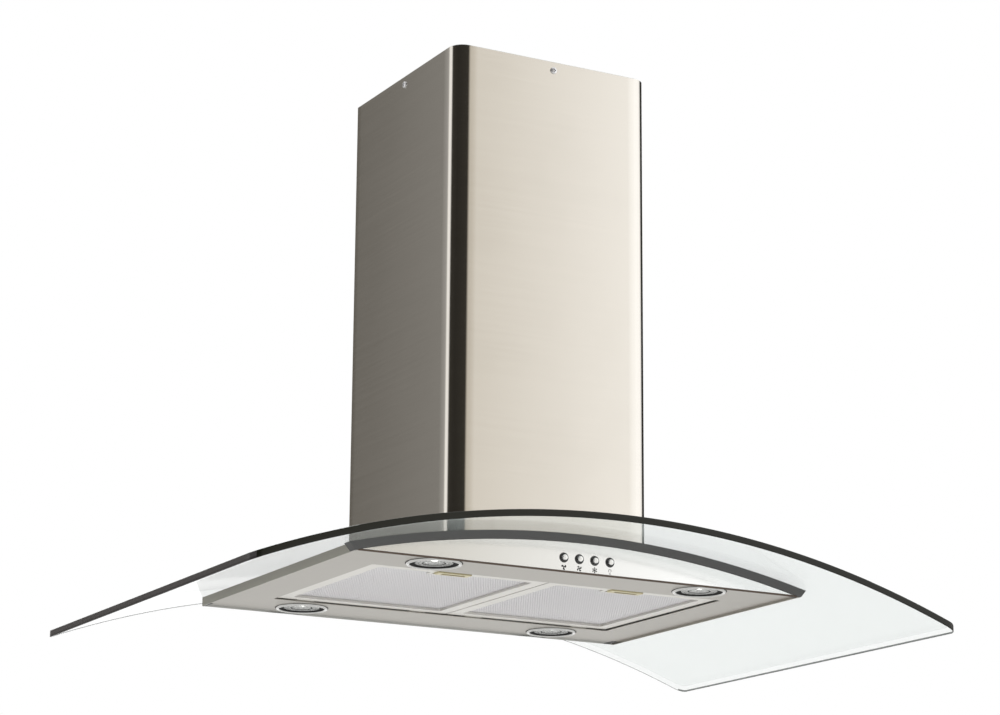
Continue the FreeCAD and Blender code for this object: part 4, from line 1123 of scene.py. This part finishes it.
# ---------------------------------------------------------------- stage
def camera_matrix(stage):
    """Turn and place of the camera from its azimuth, elevation and roll."""
    azimuth, elevation, roll = stage.azimuth, stage.elevation, stage.roll
    back = Vector((np.sin(azimuth) * np.cos(elevation), -np.cos(azimuth) * np.cos(elevation),
                   np.sin(elevation)))
    right = (-back).cross(Vector((0, 0, 1))).normalized()
    up = right.cross(-back)
    rolled_right = right * np.cos(roll) + up * np.sin(roll)
    rolled_up = up * np.cos(roll) - right * np.sin(roll)
    facing = Matrix((rolled_right, rolled_up, back)).transposed().to_4x4()
    return Matrix.Translation(Vector(stage.place)) @ facing


SOFTBOXES = (
    # bearing in degrees from -Y towards -X, brightness and warmth of the light there
    (-180, 0.80, 0.3), (-172, 1.42, 0.0), (-143, 1.42, 0.0), (-138, 0.03, 0.6), (-94, 0.03, 0.6),
    (-86, 1.30, 0.1), (-70, 1.60, 0.1), (-33.5, 1.65, 0.1), (-27, 0.86, 0.75), (-21, 0.62, 0.9),
    (-13, 0.05, 1.0), (60, 0.035, 1.0), (100, 0.05, 1.0), (109, 1.30, 0.2), (127, 1.30, 0.2),
    (138, 0.55, 0.3), (150.5, 0.46, 0.3), (154.5, 0.15, 0.8), (164, 0.18, 0.6), (180, 0.80, 0.3),
)


def make_world(stage):
    """Studio light as a ring of softboxes by bearing, even overhead and towards the floor."""
    green_loss = 0.10
    blue_loss = 0.26
    world = bpy.data.worlds.new("studio")
    world.use_nodes = True
    tree = world.node_tree
    tree.nodes.clear()
    direction = split(tree, tree.nodes.new("ShaderNodeTexCoord").outputs["Generated"])
    west = math_node(tree, "MULTIPLY", direction["X"], -1.0)
    south = math_node(tree, "MULTIPLY", direction["Y"], -1.0)
    bearing = math_node(tree, "ARCTAN2", west, south)
    ramp = tree.nodes.new("ShaderNodeValToRGB")
    place = math_node(tree, "ADD", math_node(tree, "DIVIDE", bearing, FULL_TURN), 0.5)
    feed(tree, ramp.inputs["Fac"], place)
    stops = ramp.color_ramp.elements
    brightest = max(level for _, level, _ in SOFTBOXES)
    for degrees, level, warmth in SOFTBOXES:
        ends = {-180: 0, 180: len(stops) - 1}
        stop = stops[ends[degrees]] if degrees in ends else stops.new(degrees / 360 + 0.5)
        value = level / brightest
        stop.color = (value, value * (1 - green_loss * warmth), value * (1 - blue_loss * warmth), 1.0)
    overhead = smooth_steps(tree, direction["Z"], 0.55, 0.8)
    ceiling = mixed_colour(tree, overhead, ramp.outputs["Color"], (0.65, 0.65, 0.65))
    underneath = smooth_steps(tree, direction["Z"], -0.06, -0.12)
    studio = tree.nodes.new("ShaderNodeBackground")
    set_sockets(tree, studio, Strength=brightest,
                Color=mixed_colour(tree, underneath, ceiling, (0.62, 0.62, 0.61)))
    plain = tree.nodes.new("ShaderNodeBackground")
    set_sockets(tree, plain, Color=tuple(stage.backdrop))
    ray = tree.nodes.new("ShaderNodeLightPath")
    end = tree.nodes.new("ShaderNodeOutputWorld")
    mixed_shader(tree, ray.outputs["Is Camera Ray"], studio, plain, end)
    bpy.context.scene.world = world


def make_floor(stage):
    """Plain pale disc on the floor that a view from below looks through."""
    radius = 9.0
    steps = 96
    angle = np.arange(steps) * FULL_TURN / steps
    rings = np.array([0.0, radius])[:, None]
    z = np.full((2, steps), -stage.floor_drop)
    points = np.stack([rings * np.cos(angle), rings * np.sin(angle), z], axis=-1)
    mesh = bpy.data.meshes.new("floor")
    vertices, quads = surface(points, wrap_columns=True)
    mesh.from_pydata(vertices.tolist(), [], quads.tolist())
    tree, shader = new_material("pale_floor", Base_Color=(0.80, 0.80, 0.79), Roughness=0.9,
                                Emission_Color=(1.0, 1.0, 0.99), Emission_Strength=0.13)
    see_through_from_behind(tree, shader)
    mesh.materials.append(bpy.data.materials["pale_floor"])
    floor = bpy.data.objects.new("floor", mesh)
    bpy.context.scene.collection.objects.link(floor)


class HOOD_OT_stage(bpy.types.Operator):
    """Set up the camera, the pale floor and the soft studio light"""
    bl_idname = "hood.stage"
    bl_label = "Stage"

    def execute(self, context):
        stage = settings().stage
        data = bpy.data.cameras.new("camera")
        data.sensor_width = SENSOR_WIDTH
        data.lens = stage.lens
        data.clip_end = 100.0
        camera = bpy.data.objects.new("camera", data)
        context.scene.collection.objects.link(camera)
        camera.matrix_world = camera_matrix(stage)
        context.scene.camera = camera
        context.scene.view_settings.view_transform = "Standard"
        make_world(stage)
        make_floor(stage)
        return {"FINISHED"}


class HOOD_PT_panel(bpy.types.Panel):
    """Sidebar panel with the hood's settings and pieces"""
    bl_label = "Range hood"
    bl_idname = "HOOD_PT_panel"
    bl_space_type = "VIEW_3D"
    bl_region_type = "UI"
    bl_category = "Hood"

    def draw(self, context):
        layout = self.layout
        for operator in OPERATORS:
            layout.operator(operator.bl_idname)
        hood = settings()
        for name, kind in SETTINGS.items():
            box = layout.box()
            box.label(text=name.capitalize())
            for field in kind.__annotations__:
                box.prop(getattr(hood, name), field)


OPERATORS = (HOOD_OT_finishes, HOOD_OT_canopy, HOOD_OT_flue, HOOD_OT_flue_screws, HOOD_OT_lamps,
             HOOD_OT_buttons, HOOD_OT_marks, HOOD_OT_filters, HOOD_OT_stage)
CLASSES = (*SETTINGS.values(), HoodSettings, *OPERATORS, HOOD_PT_panel)


def register():
    for item in CLASSES:
        bpy.utils.register_class(item)
    bpy.types.Scene.range_hood = PointerProperty(type=HoodSettings)


def unregister():
    del bpy.types.Scene.range_hood
    for item in reversed(CLASSES):
        bpy.utils.unregister_class(item)


def main():
    """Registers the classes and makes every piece."""
    register()
    for operator in OPERATORS:
        family, action = operator.bl_idname.split(".")
        getattr(getattr(bpy.ops, family), action)()


if __name__ == "__main__":
    main()
